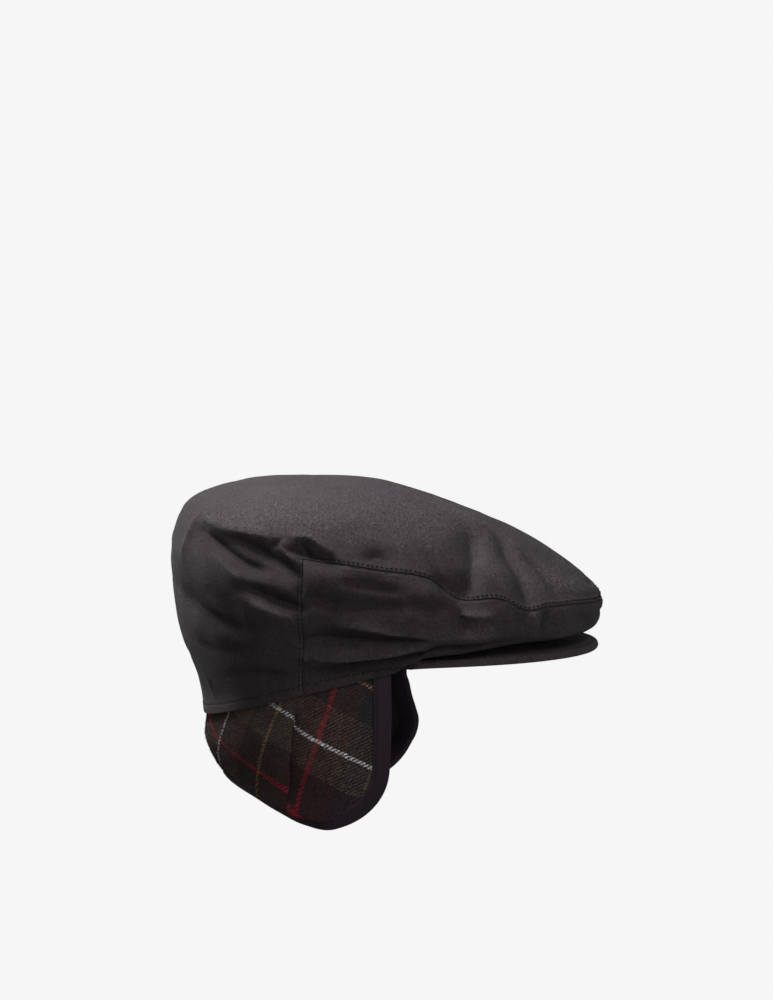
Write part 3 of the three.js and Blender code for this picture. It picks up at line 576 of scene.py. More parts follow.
def blendColours(tree, share, a, b, mode="MIX"):
    node = tree.nodes.new("ShaderNodeMix")
    node.data_type = "RGBA"
    node.blend_type = mode
    feed(tree, node.inputs[0], share)
    for socket, value in ((node.inputs[6], a), (node.inputs[7], b)):
        feed(tree, socket, value if isinstance(value, bpy.types.NodeSocket) else (*value, 1))
    return node.outputs[2]


def rescale(tree, value, fromLow, fromHigh, toLow=0.0, toHigh=1.0):
    node = tree.nodes.new("ShaderNodeMapRange")
    for socket, number in zip(node.inputs[:5], (value, fromLow, fromHigh, toLow, toHigh)):
        feed(tree, socket, number)
    return node.outputs[0]


def grain(tree, place, scale, detail=3.0, roughness=0.55, output="Fac"):
    node = tree.nodes.new("ShaderNodeTexNoise")
    feed(tree, node.inputs["Vector"], place)
    for key, value in (("Scale", scale), ("Detail", detail), ("Roughness", roughness)):
        feed(tree, node.inputs[key], value)
    return node.outputs[output]


def roughen(tree, height, strength, distance, under=None):
    node = tree.nodes.new("ShaderNodeBump")
    for key, value in (("Height", height), ("Strength", strength), ("Distance", distance)):
        feed(tree, node.inputs[key], value)
    if under is not None:
        feed(tree, node.inputs["Normal"], under)
    return node.outputs["Normal"]


def readAttribute(tree, name):
    node = tree.nodes.new("ShaderNodeAttribute")
    node.attribute_name = name
    return node.outputs["Fac"]


def flatMap(tree):
    node = tree.nodes.new("ShaderNodeUVMap")
    node.uv_map = "cloth"
    return node.outputs["UV"]


def splitParts(tree, place):
    node = tree.nodes.new("ShaderNodeSeparateXYZ")
    feed(tree, node.inputs[0], place)
    return node.outputs["X"], node.outputs["Y"]


def makeWaxedCotton():
    # Broad and fine patches of wax, paler where it is rubbed, with painted light and shade mixed in from
    # the marks: darker in dents and creases, paler along the peak's edge, and pale dust that also lightens
    # the top as painted light.
    look = {
        "deep": (0.0125, 0.0092, 0.0108), "plain": (0.0225, 0.0182, 0.0205), "dryAndLit": (0.046, 0.0385, 0.0435),
    }
    material, tree, shader = newMaterial("waxed cotton")
    place = objectPlace(tree)
    broad = grain(tree, place, 30.0, 5.0, 0.6)
    mottle = grain(tree, place, 260.0, 5.0, 0.7)
    fine = grain(tree, place, 820.0, 4.0, 0.8)
    # Paleness from the marks: rubbed wear, with painted shade in dents and creases and painted light along
    # the peak's edge.
    wearAndPaintedLight = maths(tree, "MULTIPLY", readAttribute(tree, "wearAndPaintedLight"), 0.6)
    tone = blendColours(tree, rescale(tree, broad, 0.35, 0.68), look["deep"], look["plain"])
    drynessAndLight = maths(tree, "ADD", maths(tree, "MULTIPLY", mottle, 1.2), wearAndPaintedLight)
    tone = blendColours(tree, rescale(tree, drynessAndLight, 0.65, 1.3), tone, look["dryAndLit"])
    tone = blendColours(tree, 1.0, tone, rescale(tree, fine, 0.36, 0.64, 0.35, 1.7), "MULTIPLY")
    # Dust speckle on the top, partly real dust and partly painted light: it lightens the top on average.
    dustAndLight = rescale(tree, grain(tree, place, 660.0, 3.0, 0.9), 0.4, 0.6, 0.0, 2.5)
    dustedAndLit = blendColours(tree, 1.0, tone, dustAndLight, "MULTIPLY")
    tone = blendColours(tree, readAttribute(tree, "dustAndTopLight"), tone, dustedAndLit)
    feed(tree, shader.inputs["Base Color"], tone)
    feed(tree, shader.inputs["Roughness"], rescale(tree, mottle, 0.3, 0.75, 0.42, 0.58))
    shader.inputs["IOR"].default_value = 1.45
    shader.inputs["Specular Tint"].default_value = (1, 0.83, 0.9, 1)
    shader.inputs["Sheen Weight"].default_value = 0.04
    shader.inputs["Sheen Roughness"].default_value = 0.5
    bump = roughen(tree, mottle, 0.45, 0.0008)
    feed(tree, shader.inputs["Normal"], roughen(tree, fine, 0.9, 0.0012, bump))
    return material


def makeThread(name, colour):
    material, tree, shader = newMaterial(name)
    twist = grain(tree, objectPlace(tree), 1800.0, 2.0)
    low = tuple(c * 0.6 for c in colour)
    feed(tree, shader.inputs["Base Color"], blendColours(tree, rescale(tree, twist, 0.35, 0.65), low, colour))
    feed(tree, shader.inputs["Roughness"], rescale(tree, twist, 0.3, 0.7, 0.7, 0.9))
    shader.inputs["Specular IOR Level"].default_value = 0.2
    feed(tree, shader.inputs["Normal"], roughen(tree, twist, 0.4, 0.0002))
    return material


def makeLiningCloth():
    look = {"deep": (0.0135, 0.0096, 0.0112), "pale": (0.024, 0.0175, 0.0203)}
    material, tree, shader = newMaterial("black lining")
    place = objectPlace(tree)
    soft = grain(tree, place, 60.0, 3.0)
    weave = grain(tree, place, 1400.0, 2.0, 0.6)
    tone = blendColours(tree, rescale(tree, soft, 0.35, 0.7), look["deep"], look["pale"])
    feed(tree, shader.inputs["Base Color"], tone)
    feed(tree, shader.inputs["Roughness"], rescale(tree, weave, 0.3, 0.7, 0.75, 0.92))
    feed(tree, shader.inputs["Normal"], roughen(tree, weave, 0.4, 0.0003))
    shader.inputs["IOR"].default_value = 1.4
    return material


def makeTapeCloth():
    # Fine ribs across the tape, read from its own flat map: u along it and v across it, in millimetres.
    look = {
        "deep": (0.0085, 0.0052, 0.0085), "pale": (0.016, 0.0108, 0.017), "rib": (0.025, 0.017, 0.026),
        "rubbedAndHighlight": (0.05, 0.043, 0.055), "ribPitch": 0.55,
    }
    material, tree, shader = newMaterial("binding tape")
    along, _ = splitParts(tree, flatMap(tree))
    ribs = maths(tree, "SINE", maths(tree, "MULTIPLY", along, 2 * math.pi / look["ribPitch"]))
    soft = grain(tree, objectPlace(tree), 90.0, 3.0)
    # Paler where marked: rubbed wear on the fold and a painted highlight along the raised inner edges.
    wearAndPaintedLight = maths(tree, "MULTIPLY", readAttribute(tree, "wearAndPaintedLight"), 0.6)
    tone = blendColours(tree, rescale(tree, soft, 0.3, 0.7), look["deep"], look["pale"])
    tone = blendColours(tree, rescale(tree, ribs, -1, 1, 0.0, 0.25), tone, look["rib"])
    tone = blendColours(tree, wearAndPaintedLight, tone, look["rubbedAndHighlight"])
    feed(tree, shader.inputs["Base Color"], tone)
    feed(tree, shader.inputs["Roughness"], rescale(tree, soft, 0.3, 0.7, 0.6, 0.78))
    feed(tree, shader.inputs["Normal"], roughen(tree, ribs, 0.25, 0.00025))
    shader.inputs["IOR"].default_value = 1.42
    shader.inputs["Specular Tint"].default_value = (1, 0.78, 0.95, 1)
    shader.inputs["Sheen Weight"].default_value = 0.05
    return material


def stripes(tree, place, size, bands):
    # The run of coloured yarns across one repeat of the check: where each starts, as a share of the
    # repeat, and its colour.
    ramp = tree.nodes.new("ShaderNodeValToRGB")
    ramp.color_ramp.interpolation = "CONSTANT"
    while len(ramp.color_ramp.elements) < len(bands):
        ramp.color_ramp.elements.new(0.999)
    for element, (start, colour) in zip(ramp.color_ramp.elements, bands):
        element.position = start
        element.color = (*colour, 1)
    feed(tree, ramp.inputs[0], maths(tree, "FRACT", maths(tree, "DIVIDE", place, size)))
    return ramp.outputs[0]


def makeCheckWool():
    # A twill of two runs of yarns, read from the cloth's flat map in millimetres. Warp and weft take
    # turns to lie on top along slanting ribs, so a line of one yarn shows as a row of slanting dashes.
    look = {"repeat": 150.0, "across": -30.0, "down": 130.0, "rib": 2.5, "fray": 2.2}
    green, olive = (0.036, 0.034, 0.028), (0.094, 0.067, 0.051)
    wine, navy = (0.043, 0.0165, 0.0215), (0.017, 0.0155, 0.031)
    red, tan, pale = (0.38, 0.01, 0.028), (0.3, 0.175, 0.075), (0.8, 0.8, 0.82)
    shadow = (0.02, 0.0165, 0.0125)
    warp = [
        (0.0, olive), (0.14, pale), (0.152, olive), (0.3, green), (0.42, tan), (0.434, green), (0.56, wine),
        (0.7, red), (0.72, wine), (0.84, navy), (0.96, olive),
    ]
    weft = [
        (0.0, navy), (0.1, green), (0.22, tan), (0.236, green), (0.36, olive), (0.5, pale), (0.514, olive),
        (0.64, wine), (0.78, red), (0.798, wine), (0.9, navy),
    ]
    material, tree, shader = newMaterial("check wool")
    moved = tree.nodes.new("ShaderNodeMapping")
    moved.inputs["Location"].default_value = (look["across"], look["down"], 0)
    feed(tree, moved.inputs["Vector"], flatMap(tree))
    place = objectPlace(tree)
    fray = tree.nodes.new("ShaderNodeVectorMath")
    fray.operation = "MULTIPLY_ADD"
    feed(tree, fray.inputs[0], grain(tree, place, 500.0, 2.0, 0.5, "Color"))
    fray.inputs[1].default_value = (look["fray"], look["fray"], 0)
    feed(tree, fray.inputs[2], moved.outputs[0])
    x, y = splitParts(tree, fray.outputs[0])
    slant = maths(tree, "FRACT", maths(tree, "DIVIDE", maths(tree, "ADD", x, y), look["rib"]))
    ribs = maths(tree, "PINGPONG", slant, 0.5)
    warpColour, weftColour = stripes(tree, x, look["repeat"], warp), stripes(tree, y, look["repeat"], weft)
    tone = blendColours(tree, rescale(tree, ribs, 0.17, 0.33, 0.05, 0.95), weftColour, warpColour)
    fuzz = grain(tree, place, 1000.0, 4.0, 0.75)
    clump = grain(tree, place, 170.0, 4.0, 0.6)
    tone = blendColours(tree, 1.0, tone, rescale(tree, fuzz, 0.32, 0.68, 0.2, 2.0), "MULTIPLY")
    tone = blendColours(tree, rescale(tree, clump, 0.4, 0.7, 0.0, 0.45), tone, shadow)
    feed(tree, shader.inputs["Base Color"], tone)
    shader.inputs["Roughness"].default_value = 0.95
    shader.inputs["Specular IOR Level"].default_value = 0.12
    shader.inputs["Sheen Weight"].default_value = 0.12
    shader.inputs["Sheen Roughness"].default_value = 0.5
    bump = roughen(tree, ribs, 0.5, 0.0006)
    feed(tree, shader.inputs["Normal"], roughen(tree, fuzz, 0.8, 0.0006, bump))
    return material


waxedCotton = makeWaxedCotton()
blackThread = makeThread("black thread", (0.005, 0.0042, 0.0046))
liningCloth = makeLiningCloth()
tapeCloth = makeTapeCloth()
checkWool = makeCheckWool()
print("materials made")

# Crown panels
panelGrid = {"turnStep": 1.05, "finestTurn": 0.12, "knotStep": 0.05, "topStep": 0.042, "finestKnot": 0.006}
seam = crown["sideSeam"]
halfGap = crown["gap"] / 2
seamTurn = math.degrees(halfGap / (crown["width"] / 2))
frontTurn = math.degrees(halfGap / (2 * hem["halfWidth"]))
seamKnot = halfGap / 30  # a knot is about 30 mm of cloth beside the top seam


def keepAll(angle, knot):
    return np.ones((angle.shape[0] - 1, angle.shape[1] - 1), bool)


def keepTopBack(angle, knot):
    nextAngle = np.roll(angle, -1, axis=0)
    nextAngle[-1] += 360
    middle, level = ((angle + nextAngle) / 2)[:, :-1], (knot[:, 1:] + knot[:, :-1]) / 2
    return (level > knotSeam) | ((middle > seam) & (middle < 360 - seam))


def makeCrownPanels():
    # The top and back are one closed ring of columns up to the pole, and each side panel is a strip.
    turnStep, finestTurn, finestKnot = (panelGrid[key] for key in ("turnStep", "finestTurn", "finestKnot"))
    half = spread([(0, False), (seam, True), (180, False)], turnStep, finestTurn)
    ring = np.concatenate([half, 360 - half[1:-1][::-1]])
    for place, turned in ((seam, seamTurn), (360 - seam, -seamTurn)):
        ring[np.argmin(np.abs(ring - place))] = place + turned
    lower = spread([(0, True), (0.9, False), (knotSeam, True)], panelGrid["knotStep"], finestKnot)
    upper = spread([(knotSeam, True), (knotTop, False)], panelGrid["topStep"], finestKnot)
    upper[0] += seamKnot
    rows = np.concatenate([lower, upper])
    makeCrownPanel("top_and_back", "topBack", ring, rows, keepTopBack, True, ["crown_top_back"])
    lower[-1] -= seamKnot
    turns = spread([(frontTurn, True), (seam - seamTurn, True)], turnStep, finestTurn)
    makeCrownPanel("side_right", "side", turns, lower, keepAll, False, ["side_panel_right"])
    makeCrownPanel("side_left", "side", -turns[::-1], lower, keepAll, False, ["side_panel_left"])


makeCrownPanels()
print("crown made")


# Stitches
def circle(across, normal, count):
    # Unit circles of a few points, each in the plane of its two directions.
    turn = np.arange(count)[:, None] * 2 * math.pi / count
    return across[:, None] * np.cos(turn) + normal[:, None] * np.sin(turn)


def stitchRow(points, normals, pitch, length, thick, sink):
    # Stitches along a path: each a short thread that rises out of the cloth and dives back in, a
    # parabola along its length, with a round section that narrows to a point at both ends.
    run = runAlong(points)
    count = int(run[-1] / pitch)
    at = (np.arange(count) + 0.5) * run[-1] / count + rng.uniform(-0.12, 0.12, count)

    def read(values, x):
        return np.stack([np.interp(x, run, column) for column in values.T], -1)

    normal = unit(read(normals, at))
    along = unit(read(points, at + 0.6) - read(points, at - 0.6))
    s = np.array([-1, -0.8, -0.35, 0.35, 0.8, 1.0])[:, None]
    width = np.array([0, 0.75, 1, 1, 0.75, 0])[:, None, None] * thick / 2
    spine = read(points, at)[:, None] + along[:, None] * (s * length / 2)
    spine = spine + normal[:, None] * (thick * 0.9 * (1 - s ** 2) - sink)
    rings = spine[:, :, None] + circle(np.cross(normal, along), normal, 6)[:, None] * width
    inner = rings[:, 1:-1].reshape(count, 24, 3)
    vertices = np.concatenate([spine[:, :1], inner, spine[:, -1:]], axis=1)
    k = np.arange(6)
    n = (k + 1) % 6
    quads = np.concatenate([1 + 6 * r + np.stack([k, n, 6 + n, 6 + k], -1) for r in range(3)])
    ends = np.concatenate([np.stack([0 * k, 1 + n, 1 + k], -1), np.stack([0 * k + 25, 19 + k, 19 + n], -1)])
    base = (np.arange(count) * 26)[:, None, None]
    return (
        vertices.reshape(-1, 3), (quads[None, :, ::-1] + base).reshape(-1, 4),
        (ends[None, :, ::-1] + base).reshape(-1, 3),
    )


def addStitches(name, rows):
    starts = np.cumsum([0] + [len(points) for points, _, _ in rows])
    points = np.concatenate([row[0] for row in rows])
    quads = np.concatenate([row[1] + start for row, start in zip(rows, starts)])
    triangles = np.concatenate([row[2] + start for row, start in zip(rows, starts)])
    addPiece(name, buildMesh(name, points, quads, triangles), blackThread)


def makeCrownStitches():
    # A row above the top seam and behind each side seam, and one round the hem as far as the peak.
    rows = []

    def addRow(angle, knot, panel, thick, sink):
        outer, _, normal, _ = crownSurface(angle, knot, panel)
        size = stitching["thick"] * thick
        rows.append(stitchRow(outer, normal, stitching["pitch"], stitching["length"], size, sink))

    for sign in (1, -1):
        angle = sign * np.linspace(0.8, seam - 1.6, 420)
        perKnot = lengthOf(plainCrown(angle, 4.05) - plainCrown(angle, 4.0)) / 0.05
        addRow(angle, knotSeam + stitching["fromSeam"] / perKnot, "topBack", 1, 0.1)
        knot = np.linspace(3.96, 0.3, 260)
        perDegree = lengthOf(plainCrown(sign * (seam + 1.0), knot) - plainCrown(sign * seam, knot))
        addRow(sign * (seam + stitching["fromSeam"] / perDegree), knot, "topBack", 0.75, 0.16)
    end = peak["angle"] + 3
    stretches = ((seam + 1.2, 358.8 - seam, "topBack"), (end, seam - 1.2, "side"), (1.2 - seam, -end, "side"))
    for low, high, panel in stretches:
        angle = np.linspace(low, high, 500)
        perKnot = lengthOf(plainCrown(angle, 0.3) - plainCrown(angle, 0.0)) / 0.3
        addRow(angle, stitching["fromHem"] / perKnot, panel, 0.7, 0.16)
    addStitches("crown_stitches", rows)


makeCrownStitches()
print("crown stitched")


# Peak
def makePeakPiece():
    # Rings over the top from the hem to the edge, round the edge and back underneath. The edge is a
    # rolled cord with a stitched groove inside it.
    look = {"cord": 0.35, "groove": 0.55, "grooveAt": 4.6, "columns": 200, "across": 44, "bend": 14}
    across, bend = look["across"], look["bend"]
    half = math.radians(88)
    turn = (1 - 2 * np.linspace(0, 1, look["columns"] + 1)) * half
    hemTurn = turn / half * math.radians(peak["angle"])
    cornerY = hem["halfLength"] * math.cos(math.radians(peak["angle"]))
    tipY = hem["halfLength"] + peak["reach"]
    cornerZ = hemHeight(-cornerY) + peak["thickness"] / 2
    baseX = -(hem["halfWidth"] - crown["wall"]) * np.sin(hemTurn)
    baseY = -(hem["halfLength"] - crown["wall"]) * np.cos(hemTurn)
    base = np.stack([baseX, baseY, hemHeight(baseY) + peak["thickness"] / 2], -1)
    edge = np.stack([
        -peak["width"] / 2 * np.sin(turn), -cornerY - (tipY - cornerY) * np.cos(turn),
        cornerZ + (peak["tipHeight"] - cornerZ) * np.sqrt(np.cos(turn)),
    ], -1)
    reach = lengthOf((edge - base)[:, :2])[:, None]
    roundShare = np.minimum(0.5, peak["thickness"] / 2 / reach)
    flatS = (1 - np.linspace(1, 0, across + 1) ** 1.6) * (1 - roundShare)
    angle = np.pi * np.arange(1, bend) / bend
    bendS = 1 - roundShare + roundShare * np.sin(angle)
    s = np.concatenate([flatS, bendS, flatS[:, ::-1]], axis=1)
    level = np.concatenate([np.ones(across + 1), np.cos(angle), -np.ones(across + 1)])
    fromEdge = (1 - s) * reach
    groove = look["groove"] * bell(fromEdge - look["grooveAt"], 0.8) * smoothStep(6, 14, reach)
    groove = groove * (np.abs(level) > 0.999)
    lift = level * (peak["thickness"] / 2 + look["cord"] * bell(fromEdge - 1.2, 1.8) - groove)
    points = base[:, None] + (edge - base)[:, None] * s[..., None]
    wave = ripple(points, softWaves, 0.2) * smoothStep(4, 20, fromEdge)
    points[..., 2] += peak["arch"] * reach / peak["reach"] * np.sin(np.pi * s) + lift + wave
    columns, size = s.shape
    k = np.arange(size // 2)
    cap = np.stack([k, k + 1, size - 2 - k, size - 1 - k], -1)[:-1]
    last = (columns - 1) * size
    quads = np.concatenate([sweptFaces(columns, size), cap[:, ::-1], cap + last])
    middle = size // 2
    tips = [[middle - 1, middle + 1, middle], [last + middle - 1, last + middle, last + middle + 1]]
    # Paler towards the edge, partly wear and partly painted light on the cord that the crown shades; darker
    # in the stitched groove: painted shade.
    wearAndPaintedLight = np.clip(0.6 + 0.8 * bell(fromEdge, 4.5) - 0.5 * groove, 0, 1.4).reshape(-1)
    mesh = buildMesh("peak_board", points.reshape(-1, 3), quads, tips, attributes={"wearAndPaintedLight": wearAndPaintedLight})
    addPiece("peak_board", mesh, waxedCotton, ["peak"])


makePeakPiece()
print("peak made")


# Flap
def flapDepth(angle):
    # Depth of the free edge: a table as far as the ear, then a full ellipse round the front corner.
    turn = np.abs(angle)
    share = alongTable(flapShares, flapDepthShares, turn / flap["earAngle"])
    nape = flap["napeDepth"] + (flap["earDepth"] - flap["napeDepth"]) * share
    s = np.clip((turn - flap["earAngle"]) / (flap["frontAngle"] - flap["earAngle"]), 0, 1)
    corner = (1 - s ** flap["fullness"]) ** (1 / flap["fullness"])
    front = flap["frontDepth"] + (flap["earDepth"] - flap["frontDepth"]) * corner
    return np.where(turn <= flap["earAngle"], nape, front)


def cornerAngle(share, frontAngle):
    # Angles round the front corner: a power of the cosine, the ellipse's other half.
    reach = np.cos(share * math.pi / 2) ** (2 / flap["fullness"])
    return flap["earAngle"] + (frontAngle - flap["earAngle"]) * reach


def pleatShare(share):
    # Where the pleat lies at a share of the way down, as a share of the ear's angle.
    return flap["pleatTop"] + (flap["pleatBottom"] - flap["pleatTop"]) * share


flapWaves = makeWaves(10, 28, 60)

# The left flap's front edge hangs in a soft curve: how far forward it stands at depths below the hem.
farEdge = {
    "depths": [-9, 8, 28, 34, 43, 51, 59, 68, 76, 92],
    "forward": [0, -5, -6.7, -4.7, -2.3, 0.7, 3.3, 2.8, 1, 0],
}


def flapPoint(angle, depth):
    # Each section leaves the hem upright, swells out, and leans in as an arc towards its lower edge.
    # A pleat runs down behind each ear.
    angle, depth = np.broadcast_arrays(np.asarray(angle, float), np.asarray(depth, float))
    turn = np.abs(angle)
    share = turn / flap["earAngle"]
    tapeAngle = math.degrees(tape["width"] / hem["halfWidth"])
    atTape = smoothStep(flap["earAngle"], flap["frontAngle"] - tapeAngle * 0.75, turn)
    inset = crown["wall"] + flap["gap"] * 1.5 + flap["tartanWall"] + (tape["wall"] + tape["room"]) * atTape
    full = flapDepth(np.minimum(turn, flap["earAngle"]))
    bend = np.radians(alongTable(flapShares, flapTurns, share)) / full
    down = np.maximum(depth, 0)
    inward = (1 - np.cos(bend * down)) / bend
    fall = np.sin(bend * down) / bend + np.minimum(depth, 0)
    fullPuff = flap["puff"] + (flap["frontPuff"] - flap["puff"]) * smoothStep(0, flap["earAngle"], turn)
    puff = fullPuff * smoothStep(flap["gap"] * 5, full / 3, depth)
    fromPleat = (share - pleatShare(down / full)) * math.radians(flap["earAngle"]) * hem["halfWidth"]
    ends = smoothStep(0, full / 4, depth) * (1 - smoothStep(full * 0.7, full - tape["width"], depth))
    pleat = flap["pleatDepth"] * bell(fromPleat, flap["pleatWidth"] / 2) * ends
    ends = smoothStep(1, 9, depth) * (1 - smoothStep(full - 14, full - 10, depth))
    crease = 0.9 * bell(fromPleat, 1.6) * ends
    across, along = -np.sin(np.radians(angle)), np.cos(np.radians(angle))
    out = unit(np.stack([across / hem["halfWidth"], along / hem["halfLength"]], -1))
    reach = puff - pleat - crease - inset - inward
    x = hem["halfWidth"] * across + out[..., 0] * reach
    y = hem["halfLength"] * along + out[..., 1] * reach
    points = np.stack([x, y, hemHeight(hem["halfLength"] * along) - fall], -1)
    calm = (1 - smoothStep(full - 16, full - 6, depth)) * (1 - atTape)
    wave = ripple(points, flapWaves, 0.5) * smoothStep(4, 18, depth) * calm
    points[..., :2] += out * wave[..., None]
    hang = alongTable(farEdge["depths"], farEdge["forward"], depth)
    atFront = smoothStep(flap["earAngle"] - 30, flap["frontAngle"], turn)
    points[..., 1] -= hang * np.where(angle < 0, atFront, 0)
    return points


def flapFrame(angle, depth):
    along = flapPoint(angle + 0.5, depth) - flapPoint(angle - 0.5, depth)
    down = flapPoint(angle, depth + 0.5) - flapPoint(angle, depth - 0.5)
    return along, down, unit(np.cross(down, along))


# The step of each cloth's grid, the strip that the pleat hides, and how far the cloth bulges over the
# tape and hangs below the bulge.
woolLook = {"step": 1.5, "folded": 6.5, "bulge": 4.0, "hang": 1.7}
liningLook = {"step": 2.0, "folded": 0.0, "bulge": 0.0, "hang": 0.0}
halfRoom = flap["gap"] / 2


def flapCloth(name, high, low, look, material, node):
    # A cloth between two heights over the flap's middle face, that bulges and hangs over the tape
    # round the nape. Its flat map is the run of its yarns in millimetres, with f forward from the nape
    # and d down from the hem: across = 0.95 (f + (0.74 - 0.0028 |f|) d) and down = 0.79 (d - 0.77 f).
    ear, room = flap["earAngle"], tape["wall"] + tape["room"]
    frontAngle = flap["frontAngle"] - math.degrees(room / hem["halfWidth"])
    steps = int(round(math.radians(ear) * hem["halfWidth"] / look["step"]))
    half = np.concatenate([cornerAngle(np.arange(14) / 14, frontAngle), np.linspace(ear, 0, steps + 1)])
    angles = np.concatenate([half, -half[:-1][::-1]])
    pastEar = np.clip((np.abs(angles) - ear) / (frontAngle - ear), 0, 1)
    turn = np.where(pastEar > 0, ear + (flap["frontAngle"] - ear) * pastEar, np.abs(angles))
    edge = (flapDepth(turn) - room - tape["room"])[:, None]
    rows = int(round((flap["earDepth"] + flap["tuck"]) / look["step"]))
    depth = edge + (-flap["tuck"] - edge) * np.linspace(0, 1, rows + 1)
    angle = np.broadcast_to(angles[:, None], depth.shape)
    middle = flapPoint(angle, depth)
    _, down, normal = flapFrame(angle, depth)
    fromEdge = flapDepth(turn)[:, None] - depth
    past = fromEdge - tape["width"] - 3.6
    beside = smoothStep(18, 62, np.abs(angle)) * (1 - smoothStep(86, 101, np.abs(angle)))
    roll = (look["bulge"] * beside * bell(past, np.where(past < 0, 3.0, 8.0)))[..., None]
    outer = middle + normal * (high + roll) + unit(down) * look["hang"] * roll
    inner = middle + normal * low
    quads = shellFaces(*depth.shape, keepAll(angle, depth), False)
    run = runAlong(flapPoint(angles, np.full_like(angles, 30.0)))
    beyond = np.abs(angle) - pleatShare(np.maximum(depth, 0) / 90) * ear
    f = run.mean() - run[:, None] + look["folded"] * smoothStep(-1.2, 1.2, beyond) * np.sign(angle)
    flat = np.stack([0.95 * (f + (0.74 - 0.0028 * np.abs(f)) * depth), 0.79 * (depth - 0.77 * f)], -1)
    points = np.concatenate([outer.reshape(-1, 3), inner.reshape(-1, 3)])
    mesh = buildMesh(name, points, quads, uv=np.tile(flat.reshape(-1, 2), (2, 1)))
    addPiece(name, mesh, material, [node])
    return outer, normal, flat, (fromEdge > tape["width"] + 1) & (depth > -1)


nap = {"fibres": 32000, "length": 1.8, "thick": 0.2, "rise": 0.8}


def makeNap(face, normals, flat, bare):
    # Loose fibres on the brushed face: each leaves the cloth at a random place, arches along it by its
    # length and ends a little above it. A fibre is two slim pyramids base to base, in the colour of the
    # yarn that it stands on.
    count, size = nap["fibres"], (face.shape[0] - 1, face.shape[1] - 1)
    i, j = rng.integers(0, size[0], count), rng.integers(0, size[1], count)
    kept = bare[i, j] & bare[i + 1, j + 1]
    i, j = i[kept], j[kept]
    count = len(i)
    a, b = rng.random((2, count, 1))

    def between(grid):
        low = grid[i, j] * (1 - a) + grid[i + 1, j] * a
        return low * (1 - b) + (grid[i, j + 1] * (1 - a) + grid[i + 1, j + 1] * a) * b

    root, normal, place = between(face), unit(between(normals)), between(flat)
    along = rng.normal(size=(count, 3))
    along = unit(along - normal * dot(along, normal)[:, None])
    length = nap["length"] * rng.uniform(0.5, 1.3, (count, 1))
    height = nap["rise"] * rng.uniform(0.2, 1.3, (count, 1))
    middle = root + along * length * 0.5 + normal * height * 0.8
    tip = root + along * length + normal * height * rng.uniform(0.2, 1.6, (count, 1))
    ring = middle[:, None] + circle(np.cross(normal, along), normal, 3) * nap["thick"] / 2
    points = np.concatenate([(root - normal * 0.1)[:, None], ring, tip[:, None]], axis=1).reshape(-1, 3)
    k = np.arange(3)
    n = (k + 1) % 3
    fans = np.concatenate([np.stack([0 * k, 1 + k, 1 + n], -1), np.stack([0 * k + 4, 1 + n, 1 + k], -1)])
    triangles = (fans[None] + (np.arange(count) * 5)[:, None, None]).reshape(-1, 3)
    mesh = buildMesh("nap", points, np.zeros((0, 4), int), triangles, uv=np.repeat(place, 5, axis=0))
    addPiece("nap", mesh, checkWool)


woolTop, liningBottom = halfRoom + flap["tartanWall"], -halfRoom - flap["liningWall"]
wool = flapCloth("check_cloth", woolTop, halfRoom, woolLook, checkWool, "flap_tartan")
flapCloth("inner_cloth", -halfRoom, liningBottom, liningLook, liningCloth, "flap_lining")
makeNap(*wool)
print("flap cloths made")


def tapeSection():
    # The tape's section as (in from the free edge, height): out along one face from the inner edge,
    # round the fold and back along the other, with thin turned edges.
    top = flap["tartanWall"] + halfRoom + tape["room"]
    bottom = -(flap["liningWall"] + halfRoom + tape["room"])
    wall, width, fold, innerFold = tape["wall"], tape["width"], 2.2, 1.6
    across = width - np.linspace(0, 1, 13) * (width - fold)
    swell = 0.35 * np.sin(np.pi * np.clip((across - fold) / (width - fold), 0, 1))
    swell -= 0.25 * bell(across - width + 1.6, 0.5) + 0.5 * bell(across - width, 0.35)
    turn = np.linspace(0, math.pi, 13)[1:-1]
    middle, halfSpan = (top + bottom) / 2, (top - bottom) / 2 + wall
    inner = np.linspace(width, innerFold, 7)
    section = np.concatenate([
        np.stack([across, top + wall + swell], -1),
        np.stack([fold - fold * np.sin(turn), middle + halfSpan * np.cos(turn)], -1),
        np.stack([across[::-1], bottom - wall - swell[::-1]], -1),
        np.stack([inner, np.full(7, bottom + 0.02)], -1), np.stack([inner[::-1], np.full(7, top - 0.02)], -1),
    ])
    return section, top + wall, bottom - wall


